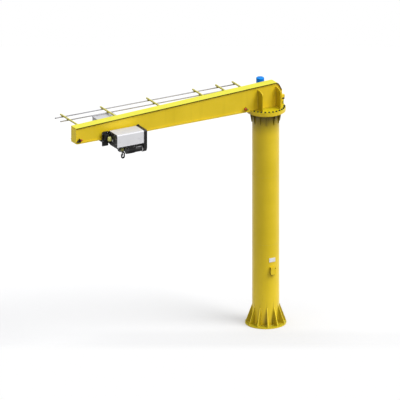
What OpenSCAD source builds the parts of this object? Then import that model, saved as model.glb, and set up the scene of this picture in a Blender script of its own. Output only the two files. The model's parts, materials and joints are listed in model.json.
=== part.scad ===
// Floor-mounted slewing jib crane: a round column on a bolted base plate, a box
// girder arm on a geared ball bearing and a low-headroom wire rope hoist.
// Millimetres, Z up. The origin is on the column axis at the foot of the base
// plate. The arm points along +X and the rope drum hangs on its +Y side.

/* [Column] */
// Outside diameter of the column tube
column_d = 610; // [600:2:616]
// Wall of the column tube
column_wall = 20; // [16:1:24]
// Height of the top end of the column tube above the floor
head_z = 5030; // [4400:10:5600]
// Diameter of the base plate
base_d = 930; // [910:5:1000]
// Thickness of the base plate
base_t = 30; // [20:1:40]
// Anchor holes in the base plate, one between each two gussets
anchor_count = 12; // [12:1:12]
// Diameter of the circle the anchor holes lie on
anchor_pcd = 800; // [780:5:830]
// Diameter of an anchor hole
anchor_hole_d = 34; // [26:1:40]
// Least steel between an anchor hole and the edge of the base plate, which widens the plate if it must
anchor_edge = 20; // [10:1:30]
// Diameter of the cable hole in the base plate
cable_hole_d = 120; // [80:5:160]
// Height of the gussets on the base plate
base_gusset_h = 415; // [300:5:500]
// Height of the short upright nose at the outer end of a base gusset
base_gusset_nose = 40; // [20:5:60]
// Radius that the base gussets reach
base_gusset_r = 450; // [430:1:454]
// Thickness of a base gusset
base_gusset_t = 15; // [10:1:20]
// Height of the gussets under the column head
head_gusset_h = 230; // [150:5:280]
// Gap between the ends of the head gussets and the rim of the flange
head_gusset_in = 23; // [10:1:40]
// Radius that the head gussets have at their lower end
head_gusset_foot_r = 322; // [312:1:330]
// Thickness of a head gusset
head_gusset_t = 12; // [8:1:16]
// Turn of all gussets round the column axis
gusset_phase = 8; // [0:1:14]
// Distance of the rim of the column flange inside the ball circle
head_flange_in = 5; // [3:1:10]
// Thickness of the flange on the column head
head_flange_t = 30; // [24:1:40]
// Diameter of the cable hole in the column head
head_hole_d = 200; // [160:5:240]

/* [Column fittings] */
// Width of the blank plate on the column
plate_w = 150; // [100:5:180]
// Height of the blank plate
plate_h = 95; // [60:5:120]
// Height of the middle of the blank plate above the floor
plate_z = 1584; // [1500:2:1700]
// Width of the supply box
box_w = 125; // [110:1:140]
// Depth of the supply box in front of the column
box_depth = 65; // [50:1:80]
// Height of the supply box
box_h = 170; // [150:2:200]
// Height of the middle of the supply box above the floor
box_z = 1333; // [1200:2:1400]
// Sheet thickness of the supply box
box_wall = 4; // [3:0.5:5]

/* [Slewing bearing] */
// Width of the outer ring and of the turntable outside the ball circle
ring_rim = 60; // [56:1:66]
// Height of each bearing ring
ring_h = 58; // [56:1:60]
// Radius of the circle that the ball centres run on
ball_pitch_r = 390; // [389:0.5:391]
// Radius of a ball
ball_r = 12; // [11:0.5:13]
// Number of balls
ball_count = 40; // [30:2:50]
// Thickness of the cage that spaces the balls
cage_t = 3.2; // [2:0.1:4]
// Clear gap between the two rings
ring_gap = 5; // [4.5:0.1:6]
// Module of the slewing teeth
gear_module = 8; // [8:1:8]
// Teeth inside the inner ring
ring_teeth = 80; // [80:8:80]
// Teeth of the slewing pinion
pinion_teeth = 16; // [16:8:16]
// Sideways play between the slewing teeth
backlash = 0.4; // [0.3:0.1:0.8]
// Face width of the pinion
pinion_w = 48; // [40:1:50]
// Bolts through the turntable into the outer ring
ring_bolt_count = 30; // [24:6:36]
// Distance of the turntable bolts outside the ball circle
ring_bolt_out = 32; // [30:1:35]
// Thread diameter of the ring bolts
ring_bolt_d = 22; // [16:1:22]
// Bolts that hold the inner ring from below
inner_bolt_count = 24; // [24:12:24]
// Distance of the inner ring bolts inside the ball circle
inner_bolt_in = 36; // [34:1:38]

/* [Turntable and slewing drive] */
// Thickness of the turntable plate
turntable_t = 28; // [24:1:32]
// Distance from the column axis to the middle of a slewing stop pin
stop_r = 150; // [140:1:155]
// Radius of a slewing stop pin
stop_pin_r = 12; // [10:1:14]
// Radius of the gearbox spigot in the turntable
spigot_r = 78; // [76:1:90]
// Radius of the gearbox flange
gearbox_flange_r = 122; // [112:1:128]
// Radius of the gearbox case
gearbox_r = 100; // [92:1:106]
// Height of the gearbox above the turntable
gearbox_h = 250; // [200:5:280]
// Radius of the slewing motor
motor_r = 90; // [80:1:92]
// Height of the top of the motor above the turntable
motor_top = 620; // [560:5:680]
// Height of the fan cover on the motor
fan_cover_h = 118; // [90:1:140]
// Radius of the slewing shaft
slew_shaft_r = 30; // [24:1:36]

/* [Girder] */
// Distance from the column axis to the tip of the girder
tip_x = 4925; // [4880:5:5200]
// Distance from the column axis to the rear end of the girder
rear_x = -355; // [-380:5:-330]
// Length of the sloping corner at the rear end
rear_slope_w = 100; // [60:5:130]
// Height of the girder at its tip
tip_h = 372; // [340:2:400]
// Height of the girder at the rear corner, measured to the unbent corner
rear_h = 570; // [540:2:600]
// Radius of the bend in the top plate at the rear corner
top_bend_r = 110; // [60:5:150]
// Height of the upright rear end
rear_low_h = 384; // [340:2:420]
// Width over the outsides of the webs
web_over = 196; // [188:1:210]
// Thickness of a web
web_t = 12; // [8:1:14]
// Thickness of the bent top plate
top_t = 16; // [8:1:18]
// Width of the top plate
top_w = 240; // [230:2:260]
// Width of the bottom plate where the trolley wheels run
bottom_w = 270; // [264:2:274]
// Thickness of the bottom plate
bottom_t = 16; // [12:1:20]
// Gap between the turntable and the start of the wheel ledges
ledge_gap = 10; // [5:5:50]
// Width of the plate on the tip
tip_w = 232; // [224:2:240]
// Reach of the ribs from the middle of the girder
rib_y = 327; // [300:1:335]
// Height of a rib at the web
rib_h = 477; // [440:1:500]
// Height of a rib at its outer edge
rib_low_h = 393; // [340:1:410]
// Thickness of a rib
rib_t = 12; // [10:1:16]
// Length of the junction box behind the girder
rear_box_l = 100; // [80:5:120]
// Width of the junction box behind the girder
rear_box_w = 80; // [60:5:110]
// Height of the junction box behind the girder
rear_box_h = 67; // [50:1:90]
// Height of the bottom of the junction box above the turntable
rear_box_z = 159; // [150:1:180]
// Distance of the junction box from the middle of the girder
rear_box_y = 20; // [0:5:40]

/* [Rail arms] */
// Side of the square bar of a cross arm
arm_s = 30; // [24:1:34]
// Height of the top of the cross arms above the turntable
arm_top = 340; // [336:1:344]
// Reach of the cross arms from the middle of the girder
arm_reach = 1000; // [960:5:1080]
// Distance of the inner rail from the middle of the girder
rail_in_y = 660; // [640:5:680]
// Distance between the two rails
rail_gap = 250; // [200:5:280]
// Side of a rail
rail_s = 24; // [20:1:26]
// Distance that the rails end before the tip of the girder
rail_short = 33; // [0:1:60]
// Start of the rails from the column axis
rail_x0 = 290; // [280:5:290]
// Gap between a cross arm and the rail that hangs under it
clamp_t = 6; // [4:1:6]

/* [Trolley] */
// Position of the hook along the arm as drawn
hook_x = 3660; // [3640:5:3680]
// Rear end of the side plates as drawn
frame_x0 = 3338; // [3330:1:3345]
// Front end of the side plates as drawn
frame_x1 = 4284; // [4270:1:4300]
// Inner face of a side plate from the middle of the girder
frame_y = 150; // [150:1:153]
// Thickness of a side plate
frame_t = 20; // [14:1:20]
// Depth of the dip in the top edge of a side plate
plate_dip = 41; // [20:1:45]
// Height of the raised rear ear of a side plate
ear_h = 24; // [0:1:30]
// Length of the raised rear ear of a side plate
ear_l = 51; // [40:1:60]
// Radius of a wheel tread
wheel_r = 62; // [56:1:66]
// Height of a wheel flange beyond the tread
wheel_flange = 8; // [5:1:10]
// Width of a wheel tread
tread_w = 28; // [24:1:28]
// Radius of a wheel axle
axle_r = 20; // [16:1:24]
// Red buffers on the end stops, radius
buffer_r = 28; // [24:1:32]
// Length of a buffer
buffer_l = 45; // [36:1:50]
// Contact face of the rear buffers from the column axis
rear_buffer_x = 625; // [600:5:640]
// Contact face of the tip buffers from the column axis
tip_buffer_x = 4790; // [4700:5:4800]
// Height of an end stop above the wheel ledge
stop_h = 100; // [98:1:110]
// Height of the welded foot under an end stop
stop_foot = 28; // [20:1:34]
// Thickness of the upright plate of an end stop
stop_t = 14; // [10:1:18]

/* [Hoist] */
// Distance of the drum axis from the middle of the girder
drum_y = 370; // [366:1:374]
// Height of the drum axis above the underside of the girder
drum_rise = 30; // [28:1:32]
// Radius of the bare drum
drum_r = 115; // [113:1:116]
// Rope diameter
rope_d = 10; // [8:0.5:10]
// Rope pitch on the drum
rope_pitch = 11; // [11:0.5:12]
// Turns of rope drawn on the drum
rope_turns = 44; // [30:1:44]
// Length of the cover
cover_x1 = 4105; // [4095:1:4110]
// Front edge of the gearbox case
case_x1 = 3423; // [3418:1:3430]
// Outer face of the cover from the middle of the girder
cover_y1 = 540; // [530:1:550]
// Inner face of the cover from the middle of the girder
cover_y0 = 178; // [175:1:190]
// Height of the cover
cover_h = 294; // [286:1:300]
// Height of the underside of the cover above the turntable
cover_z = -94; // [-100:1:-92]
// Thickness of the sheet of the cover
cover_t = 3; // [2:0.5:4]
// Radius of the rounded upper corner of the cover
cover_round = 30; // [20:1:45]
// Distance of the hoist motor axis from the middle of the girder
hoist_motor_y = 450; // [440:1:455]
// Height of the hoist motor axis below the turntable top
hoist_motor_drop = 250; // [245:1:255]
// Radius of the hoist motor
hoist_motor_r = 64; // [58:1:68]
// Length of the hoist motor
hoist_motor_l = 212; // [200:2:230]
// Height of the terminal box above the hoist motor axis
terminal_h = 145; // [120:1:147]
// Radius of the brake
brake_r = 58; // [54:1:62]
// Length of the brake with its hub
brake_l = 178; // [160:2:190]
// Length of the bell between the gearbox case and the brake
bell_l = 20; // [16:1:30]
// Radius of the lower lobe of the gearbox case round the motor axis
lobe_r = 75; // [70:1:85]
// Height of the outer lower corner of the gearbox case above the motor axis
case_rise = 17; // [0:1:40]

/* [Travel drive and electrics] */
// Position of the travel motor axis along the arm as drawn
travel_x = 4168; // [4166:1:4176]
// Distance of the travel motor axis from the middle of the girder
travel_y = 300; // [296:1:304]
// Radius of the travel motor
travel_r = 43; // [36:1:43]
// Height of the travel motor
travel_h = 81; // [60:1:110]
// Rear end of the electrics box along the arm as drawn
ebox_x0 = 3560; // [3520:5:3600]
// Length of the electrics box
ebox_l = 512; // [400:4:540]
// Inner face of the electrics box from the middle of the girder
ebox_y = 430; // [400:5:440]
// Width of the electrics box
ebox_w = 240; // [200:5:260]
// Height of the lid of the electrics box above the underside of the girder
ebox_top = 272; // [250:1:273]
// Depth of the electrics box below the underside of the girder
ebox_drop = 100; // [60:5:140]
// Thickness of the lid of the electrics box
ebox_lid = 12; // [8:1:20]

/* [Hook block] */
// Radius of the rope centre line on the block sheaves
sheave_r = 60; // [58:1:62]
// Distance of a block sheave from the hook axis
sheave_gap = 80; // [78:1:84]
// Height of the upper rope sheaves below the underside of the girder
upper_drop = 150; // [148:1:152]
// Height of the block sheaves below the upper sheaves
block_drop = 175; // [170:1:200]
// Thickness of a cheek plate of the block
cheek_t = 8; // [6:1:10]
// Radius of the hook shank
shank_r = 18; // [15:1:19]
// Radius of the hook centre line round the bowl
hook_r = 34; // [32:1:36]
// Radius of the hook bar
hook_bar_r = 16; // [14:0.5:16]

/* [Hidden] */
base_r = max(base_d / 2, anchor_pcd / 2 + anchor_hole_d / 2 + anchor_edge);
$fn = 64;
run_gap = 0.05;
weld_gap = 0.05;
seat_gap = 0.3;
gusset_step = 360 / anchor_count;
column_r = column_d / 2;
ring_od = 2 * (ball_pitch_r + ring_rim);
ring_bolt_pcd = 2 * (ball_pitch_r + ring_bolt_out);
inner_bolt_pcd = 2 * (ball_pitch_r - inner_bolt_in);
head_flange_r = ball_pitch_r - head_flange_in;
head_gusset_r = head_flange_r - head_gusset_in;
ledge_x = ring_od / 2 + ledge_gap;
flange_z = head_z;
ring_z = head_z + head_flange_t;
ring_lift = 4;
turn_z = ring_z + ring_lift + ring_h;
girder_z = turn_z + turntable_t;
ball_z = ring_z + ring_h / 2 + ring_lift / 2;
pinion_r = gear_module * pinion_teeth / 2;
ring_pitch_r = gear_module * ring_teeth / 2;
pinion_y = -(ring_pitch_r - pinion_r);
pinion_z = ring_z + 6;
bolt_head_h = 0.625 * ring_bolt_d;
bolt_head_r = 0.866 * ring_bolt_d;
bolt_clear = 1;
ring_bolt_grip = 22;
yellow = [0.86, 0.72, 0.16];
dark = [0.13, 0.13, 0.14];
light_grey = [0.84, 0.84, 0.86];
steel = [0.62, 0.63, 0.65];
blue = [0.06, 0.42, 0.8];
red = [0.75, 0.13, 0.1];
olive = [0.42, 0.37, 0.1];
slope_x = rear_x + rear_slope_w;
corner_tip = [tip_x, tip_h];
corner_top = [slope_x, rear_h];
corner_low = [rear_x, rear_low_h];
corner_foot = [rear_x, 0];
top_fall = (rear_h - tip_h) / (tip_x - slope_x);
bend_c = inside(corner_tip, corner_top, corner_low, top_bend_r);
bend_up = -inward(corner_tip, corner_top);
bend_back = -inward(corner_top, corner_low);
tip_t = 12;
arm_list = [4707, 3685, 2500, 1320, 730, 305];
diaphragm_list = [-210, 250, 1100, 2000, 2900, 3800];
rib_list = [-210, 250];
arm_z = girder_z + arm_top - arm_s;
rail_z = arm_z - clamp_t - rail_s;
rail_x1 = tip_x - rail_short;
rail_wall = 3;
ledge_z = girder_z + bottom_t;
wheel_z = ledge_z + wheel_r + seat_gap;
wheel_list = [3500, 4200];
wheel_edge = bottom_w / 2 + 1;
wheel_y = wheel_edge - tread_w;
travel_z = wheel_z - 63;
frame_out = frame_y + frame_t;
frame_top = girder_z + 191;
drum_z = girder_z + drum_rise;
rope_r = rope_d / 2;
drum_shaft_r = 25;
drum_x0 = case_x1 + 17;
drum_x1 = cover_x1 - 10;
lead_x = hook_x - sheave_gap;
dead_x = hook_x + sheave_gap;
lead_z = drum_z - drum_r - rope_r;
sheave_z = girder_z - upper_drop;
deflect_r = lead_z - sheave_z;
deflect_y = sheave_r + deflect_r;
block_z = sheave_z - block_drop;
sheave_w = 26;
sheave_bore = 15;
cover_base = girder_z + cover_z;
motor_z = girder_z - hoist_motor_drop;
cross_t = 12;
cross_x = [hook_x - 136, hook_x + 124];
hook_z = block_z - 223;
crosshead_z = block_z - 90;
crosshead_h = 40;
nut_h = 24;
latch_x = 28;
latch_z = 88;
door_hinge_x = box_w / 2 + 6;
door_y = column_r + box_depth - 4;
lock_x = -box_w / 2 + 15;
lock_z = box_z + box_h / 2 - 20;

// Inward unit normal of the edge from p to q, seen from the near side
function inward(p, q) = [-(q[1] - p[1]), q[0] - p[0]] / norm(q - p);
// Point at distance t inside the corner q of the outline p, q, r
function inside(p, q, r, t) = q + t * (inward(p, q) + inward(q, r)) / (1 + inward(p, q) * inward(q, r));
// Height of the underside of the top plate at the distance x
function under_top(x) = tip_h + (tip_x - x) * top_fall - top_t * sqrt(1 + top_fall * top_fall);
// Height of the inside of the girder at the distance x, the bend included
function roof(x) = x > bend_c[0] + top_bend_r * bend_up[0] ? under_top(x)
    : bend_c[1] + sqrt(pow(top_bend_r - top_t, 2) - pow(x - bend_c[0], 2));
// Angle that an involute has unwound at the radius r from its base circle rb
function unwound(r, rb) = let (c = r <= rb ? 0 : sqrt(r * r / rb / rb - 1)) c * 180 / PI - atan(c);
// Half the angle of a tooth at the radius r, thinned by slack along the pitch circle
function half_tooth(r, z, slack) = let (rp = gear_module * z / 2, rb = rp * cos(20))
    90 / z - slack / rp / 2 * 180 / PI + unwound(rp, rb) - unwound(r, rb);
function polar(r, a) = [r * cos(a), r * sin(a)];

module along_x(x0, x1, r, y, z) {
    translate([x0, y, z]) rotate([0, 90, 0]) cylinder(r = r, h = x1 - x0);
}

module along_y(y0, y1, r, x, z) {
    translate([x, y0, z]) rotate([-90, 0, 0]) cylinder(r = r, h = y1 - y0);
}

// Box given by its two opposite corners
module block(a, b) {
    translate(a) cube(b - a);
}

// Extrusion along Y of an outline drawn in X and Z, from y0 to y1
module side_face(y0, y1) {
    translate([0, y1, 0]) rotate([90, 0, 0]) linear_extrude(height = y1 - y0) children();
}

module side_shape(points, y0, y1) {
    side_face(y0, y1) polygon(points);
}

module both_sides() {
    children();
    mirror([0, 1, 0]) children();
}

module spread(count, phase) {
    for (i = [0:count - 1]) rotate([0, 0, phase + 360 * i / count]) children();
}

// Toothed disc; with a negative slack it is the hole of an internal gear
module gear_face(z, inner, outer, slack) {
    steps = [0, 0.35, 0.7, 1];
    polygon([for (i = [0:z - 1]) each concat(
        [for (s = steps) let (r = inner + (outer - inner) * s)
            polar(r, 360 * i / z - half_tooth(r, z, slack))],
        [for (s = steps) let (r = outer + (inner - outer) * s)
            polar(r, 360 * i / z + half_tooth(r, z, slack))])]);
}

module bolt_down(x, z, length) {
    translate([x, 0, z]) cylinder(r = bolt_head_r, h = bolt_head_h, $fn = 6);
    translate([x, 0, z - length]) cylinder(r = ring_bolt_d / 2, h = length + 1);
}

// Places of the ring bolts: in the open, or under the girder where they come from below
module ring_bolt_places(covered) {
    for (i = [0:ring_bolt_count - 1])
        if ((abs(ring_bolt_pcd / 2 * sin(360 * i / ring_bolt_count)) < top_w / 2) == covered)
            rotate([0, 0, 360 * i / ring_bolt_count]) translate([ring_bolt_pcd / 2, 0, 0]) children();
}

module base_plate() {
    color(yellow) difference() {
        cylinder(r = base_r, h = base_t, $fn = 128);
        translate([0, 0, -1]) cylinder(r = cable_hole_d / 2, h = base_t + 2);
        spread(anchor_count, gusset_phase + gusset_step / 2)
            translate([anchor_pcd / 2, 0, -1]) cylinder(r = anchor_hole_d / 2, h = base_t + 2);
    }
}

module column_tube() {
    color(yellow) difference() {
        translate([0, 0, base_t]) cylinder(r = column_r, h = head_z - base_t, $fn = 128);
        translate([0, 0, base_t - 1]) cylinder(r = column_r - column_wall, h = head_z, $fn = 128);
    }
}

// Gussets are set a hair into the tube so that their inner edge follows it
module ring_of_gussets(points, t) {
    difference() {
        spread(anchor_count, gusset_phase) side_shape(points, -t / 2, t / 2);
        translate([0, 0, base_t - 1]) cylinder(r = column_r + weld_gap, h = head_z, $fn = 128);
    }
}

module base_gussets() {
    color(yellow) ring_of_gussets([[column_r - 4, base_t], [base_gusset_r, base_t],
        [base_gusset_r, base_t + base_gusset_nose], [column_r + 8, base_t + base_gusset_h],
        [column_r - 4, base_t + base_gusset_h]], base_gusset_t);
}

module head_gussets() {
    color(yellow) ring_of_gussets([[column_r - 4, head_z], [head_gusset_r, head_z],
        [head_gusset_foot_r, head_z - head_gusset_h], [column_r - 4, head_z - head_gusset_h]],
        head_gusset_t);
}

// Flange with the slewing stop pin that stands behind the column axis
module head_flange() {
    color(yellow) difference() {
        translate([0, 0, flange_z]) cylinder(r = head_flange_r, h = head_flange_t, $fn = 128);
        translate([0, 0, flange_z - 1]) cylinder(r = head_hole_d / 2, h = head_flange_t + 2);
        spread(inner_bolt_count, gusset_phase + gusset_step / 4)
            translate([inner_bolt_pcd / 2, 0, flange_z - 1])
                cylinder(r = ring_bolt_d / 2 + bolt_clear, h = head_flange_t + 2, $fn = 32);
    }
    color(yellow) translate([-stop_r, 0, ring_z]) cylinder(r = stop_pin_r, h = ring_h - 10);
}

module race(r) {
    translate([0, 0, ball_z]) rotate_extrude($fn = 128)
        translate([ball_pitch_r, 0]) circle(r = r, $fn = 32);
}

module inner_ring() {
    color(steel) difference() {
        translate([0, 0, ring_z]) cylinder(r = ball_pitch_r - ring_gap / 2, h = ring_h, $fn = 128);
        translate([0, 0, ring_z - 1]) linear_extrude(height = ring_h + 2)
            gear_face(ring_teeth, ring_pitch_r - 0.8 * gear_module,
                ring_pitch_r + 1.25 * gear_module, -backlash);
        race(ball_r + run_gap);
        spread(inner_bolt_count, gusset_phase + gusset_step / 4)
            translate([inner_bolt_pcd / 2, 0, ring_z - 1])
                cylinder(r = ring_bolt_d / 2 + weld_gap, h = 36, $fn = 32);
    }
}

module inner_ring_bolts() {
    color(dark) spread(inner_bolt_count, gusset_phase + gusset_step / 4)
        translate([0, 0, flange_z]) rotate([180, 0, 0]) bolt_down(inner_bolt_pcd / 2, 0, 60);
}

module ball_set() {
    color(steel) spread(ball_count, 0)
        translate([ball_pitch_r, 0, ball_z]) sphere(r = ball_r, $fn = 24);
    color(dark) difference() {
        translate([0, 0, ball_z - ball_r - 4])
            cylinder(r = ball_pitch_r + cage_t / 2, h = 2 * ball_r + 8, $fn = 128);
        translate([0, 0, ball_z - ball_r - 5])
            cylinder(r = ball_pitch_r - cage_t / 2, h = 2 * ball_r + 10, $fn = 128);
        spread(ball_count, 0)
            along_x(ball_pitch_r - 10, ball_pitch_r + 10, ball_r + run_gap, 0, ball_z);
    }
}

module blank_plate() {
    color(light_grey) difference() {
        block([-plate_w / 2, column_r - 20, plate_z - plate_h / 2],
            [plate_w / 2, column_r + 4, plate_z + plate_h / 2]);
        translate([0, 0, plate_z - plate_h]) cylinder(r = column_r + weld_gap, h = 2 * plate_h, $fn = 128);
    }
}

module supply_box() {
    back = column_r + weld_gap;
    color(yellow) difference() {
        block([-box_w / 2, column_r - 12, box_z - box_h / 2],
            [box_w / 2, door_y, box_z + box_h / 2]);
        block([-box_w / 2 + box_wall, column_r + box_wall, box_z - box_h / 2 + box_wall],
            [box_w / 2 - box_wall, door_y + 1, box_z + box_h / 2 - box_wall]);
        translate([0, 0, box_z - box_h]) cylinder(r = back, h = 2 * box_h, $fn = 128);
    }
    color(dark) block([-box_w / 2 + 14, column_r + box_wall, box_z - 20],
        [box_w / 2 - 14, column_r + box_wall + 22, box_z + 20]);
    color(yellow) for (s = [-1, 1]) {
        block([box_w / 2, door_y - 10, box_z + s * 55 - 14],
            [door_hinge_x, door_y - 2, box_z + s * 55 + 14]);
        translate([door_hinge_x, door_y, box_z + s * 55 - 14]) cylinder(r = 5, h = 28, $fn = 24);
    }
    color(steel) translate([door_hinge_x, door_y, box_z - 40.9])
        cylinder(r = 2, h = 81.8, $fn = 24);
}

module box_door() {
    color(yellow) difference() {
        union() {
            block([-box_w / 2 + 1, door_y + seat_gap, box_z - box_h / 2 + 1],
                [box_w / 2 + 1, door_y + 4, box_z + box_h / 2 - 1]);
            block([box_w / 2 - 1, door_y + seat_gap, box_z - 38],
                [door_hinge_x, door_y + 4, box_z + 38]);
            translate([door_hinge_x, door_y, box_z - 38]) cylinder(r = 5, h = 76, $fn = 24);
        }
        translate([door_hinge_x, door_y, box_z - 60]) cylinder(r = 2 + run_gap, h = 120, $fn = 24);
        along_y(door_y - 1, door_y + 5, 5 + run_gap, lock_x, lock_z);
    }
}

module box_lock() {
    color(dark) {
        along_y(door_y - 6, door_y + 4, 5, lock_x, lock_z);
        difference() {
            along_y(door_y + 4 + seat_gap, door_y + 10, 8, lock_x, lock_z);
            block([lock_x - 1, door_y + 8, lock_z - 6], [lock_x + 1, door_y + 11, lock_z + 6]);
        }
        along_y(door_y + 3, door_y + 5, 5, lock_x, lock_z);
        block([lock_x - 6, door_y - 9, lock_z - 5], [lock_x + 12, door_y - 6, lock_z + 5]);
    }
}

module turntable() {
    color(yellow) difference() {
        translate([0, 0, turn_z]) cylinder(r = ring_od / 2, h = turntable_t, $fn = 128);
        translate([0, 0, turn_z - 1]) cylinder(r = cable_hole_d / 2, h = turntable_t + 2);
        translate([0, pinion_y, turn_z - 1])
            cylinder(r = spigot_r + weld_gap, h = turntable_t + 2);
        ring_bolt_places(false) translate([0, 0, turn_z - 1])
            cylinder(r = ring_bolt_d / 2 + bolt_clear, h = turntable_t + 2, $fn = 32);
        ring_bolt_places(true) translate([0, 0, turn_z - 1])
            cylinder(r = ring_bolt_d / 2 + weld_gap, h = ring_bolt_grip + 1, $fn = 32);
    }
    color(yellow) translate([stop_r, 0, turn_z - ring_h + 10])
        cylinder(r = stop_pin_r, h = ring_h - 10);
}

module outer_ring() {
    color(yellow) difference() {
        translate([0, 0, turn_z - ring_h]) cylinder(r = ring_od / 2, h = ring_h, $fn = 128);
        translate([0, 0, turn_z - ring_h - 1])
            cylinder(r = ball_pitch_r + ring_gap / 2, h = ring_h + 2, $fn = 128);
        race(ball_r + run_gap);
        ring_bolt_places(false) translate([0, 0, turn_z - ring_bolt_grip - 2])
            cylinder(r = ring_bolt_d / 2 + weld_gap, h = ring_bolt_grip + 4, $fn = 32);
        ring_bolt_places(true) translate([0, 0, turn_z - ring_h - 1])
            cylinder(r = ring_bolt_d / 2 + bolt_clear, h = ring_h + 2, $fn = 32);
    }
}

module ring_bolts() {
    color(dark) {
        ring_bolt_places(false) bolt_down(0, girder_z, turntable_t + ring_bolt_grip);
        ring_bolt_places(true) translate([0, 0, turn_z - ring_h]) rotate([180, 0, 0])
            bolt_down(0, 0, ring_h + ring_bolt_grip - 2);
    }
}

// The webs fill the space under the bent top plate
module girder_webs() {
    r = top_bend_r - top_t;
    points = [[rear_x + top_t, bottom_t], inside(corner_top, corner_low, corner_foot, top_t),
        bend_c + r * bend_back, bend_c, bend_c + r * bend_up,
        [tip_x - tip_t, under_top(tip_x - tip_t)], [tip_x - tip_t, bottom_t]];
    color(yellow) translate([0, 0, girder_z]) both_sides()
        side_face(web_over / 2 - web_t, web_over / 2) union() {
            polygon(points);
            translate(bend_c) circle(r = r);
        }
}

// Top plate with its round bend and the sloping rear corner
module girder_top() {
    r = top_bend_r - top_t;
    mitre = inside(corner_top, corner_low, corner_foot, top_t);
    past_tip = tip_x + 10;
    color(yellow) translate([0, 0, girder_z]) side_face(-top_w / 2, top_w / 2) difference() {
        union() {
            polygon([corner_tip, bend_c + top_bend_r * bend_up, bend_c,
                bend_c + top_bend_r * bend_back, corner_low, mitre, [tip_x, under_top(tip_x) - top_t]]);
            translate(bend_c) circle(r = top_bend_r);
        }
        polygon([[past_tip, under_top(past_tip)], bend_c + r * bend_up, bend_c,
            bend_c + r * bend_back, mitre, [mitre[0], 0], [past_tip, 0]]);
        translate(bend_c) circle(r = r);
    }
}

module girder_bottom() {
    color(yellow) union() {
        block([rear_x + top_t, -web_over / 2, girder_z], [tip_x - tip_t, web_over / 2, ledge_z]);
        block([ledge_x, -bottom_w / 2, girder_z], [tip_x - tip_t, bottom_w / 2, ledge_z]);
    }
}

// Plate on the tip and plate on the upright rear end
module end_plates() {
    color(yellow) {
        block([tip_x - tip_t, -tip_w / 2, girder_z],
            [tip_x, tip_w / 2, girder_z + under_top(tip_x)]);
        translate([0, 0, girder_z]) side_shape([corner_low, corner_foot, [rear_x + top_t, 0],
            inside(corner_top, corner_low, corner_foot, top_t)], -top_w / 2, top_w / 2);
    }
}

module diaphragms() {
    half = web_over / 2 - web_t;
    color(yellow) translate([0, 0, girder_z]) for (x = diaphragm_list)
        side_shape([[x, bottom_t], [x, roof(x) - seat_gap], [x + 8, roof(x + 8) - seat_gap],
            [x + 8, bottom_t]], -half, half);
}

module side_ribs() {
    reach = rib_y - web_over / 2;
    points = concat([[web_over / 2, 0], [rib_y, 0]], [for (i = [0:6])
        [web_over / 2 + reach * cos(15 * i), rib_low_h + (rib_h - rib_low_h) * sin(15 * i)]]);
    color(yellow) both_sides() for (x = rib_list)
        translate([x, 0, girder_z]) rotate([90, 0, 90]) linear_extrude(height = rib_t) polygon(points);
}

// Junction box behind the girder, its plug and the bracket that carries it
module rear_box() {
    z0 = girder_z + rear_box_z;
    y0 = rear_box_y - rear_box_w / 2;
    y1 = rear_box_y + rear_box_w / 2;
    wall = 4;
    color(yellow) difference() {
        block([rear_x - rear_box_l, y0, z0], [rear_x, y1, z0 + rear_box_h]);
        block([rear_x - rear_box_l + wall, y0 + wall, z0 + wall],
            [rear_x - wall, y1 - wall, z0 + rear_box_h - wall]);
    }
    color(olive) block([rear_x - rear_box_l + 20, y0 + 15, z0 - 40], [rear_x, y1 - 15, z0]);
    color(olive) side_shape([[rear_x, z0 - 40], [rear_x - rear_box_l + 12, z0 - 40],
        [rear_x - rear_box_l + 12, z0 - 52], [rear_x, z0 - 120]], y0 + 4, y1 - 4);
}

module cross_arms() {
    color(yellow) for (x = arm_list) difference() {
        block([x - arm_s / 2, -arm_reach, arm_z], [x + arm_s / 2, -web_over / 2, arm_z + arm_s]);
        block([x - arm_s / 2 + 3, -arm_reach - 1, arm_z + 3],
            [x + arm_s / 2 - 3, -web_over / 2 - 1, arm_z + arm_s - 3]);
    }
}

// One clamp holds each rail under each cross arm
module rail_clamps() {
    color(olive) for (x = arm_list) for (y = [rail_in_y, rail_in_y + rail_gap])
        translate([x, -y, 0]) difference() {
            block([-24, -rail_s / 2 - 7, rail_z + 8], [24, rail_s / 2 + 7, arm_z]);
            block([-25, -rail_s / 2 - weld_gap, rail_z - 1],
                [25, rail_s / 2 + weld_gap, rail_z + rail_s + weld_gap]);
        }
}

module rails() {
    color(light_grey) for (y = [rail_in_y, rail_in_y + rail_gap]) difference() {
        block([rail_x0, -y - rail_s / 2, rail_z], [rail_x1, -y + rail_s / 2, rail_z + rail_s]);
        block([rail_x0 - 1, -y - rail_s / 2 + rail_wall, rail_z + rail_wall],
            [rail_x1 + 1, -y + rail_s / 2 - rail_wall, rail_z + rail_s - rail_wall]);
        block([rail_x0 - 1, -y - 5, rail_z - 1], [rail_x1 + 1, -y + 5, rail_z + rail_wall + 1]);
    }
}

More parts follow.
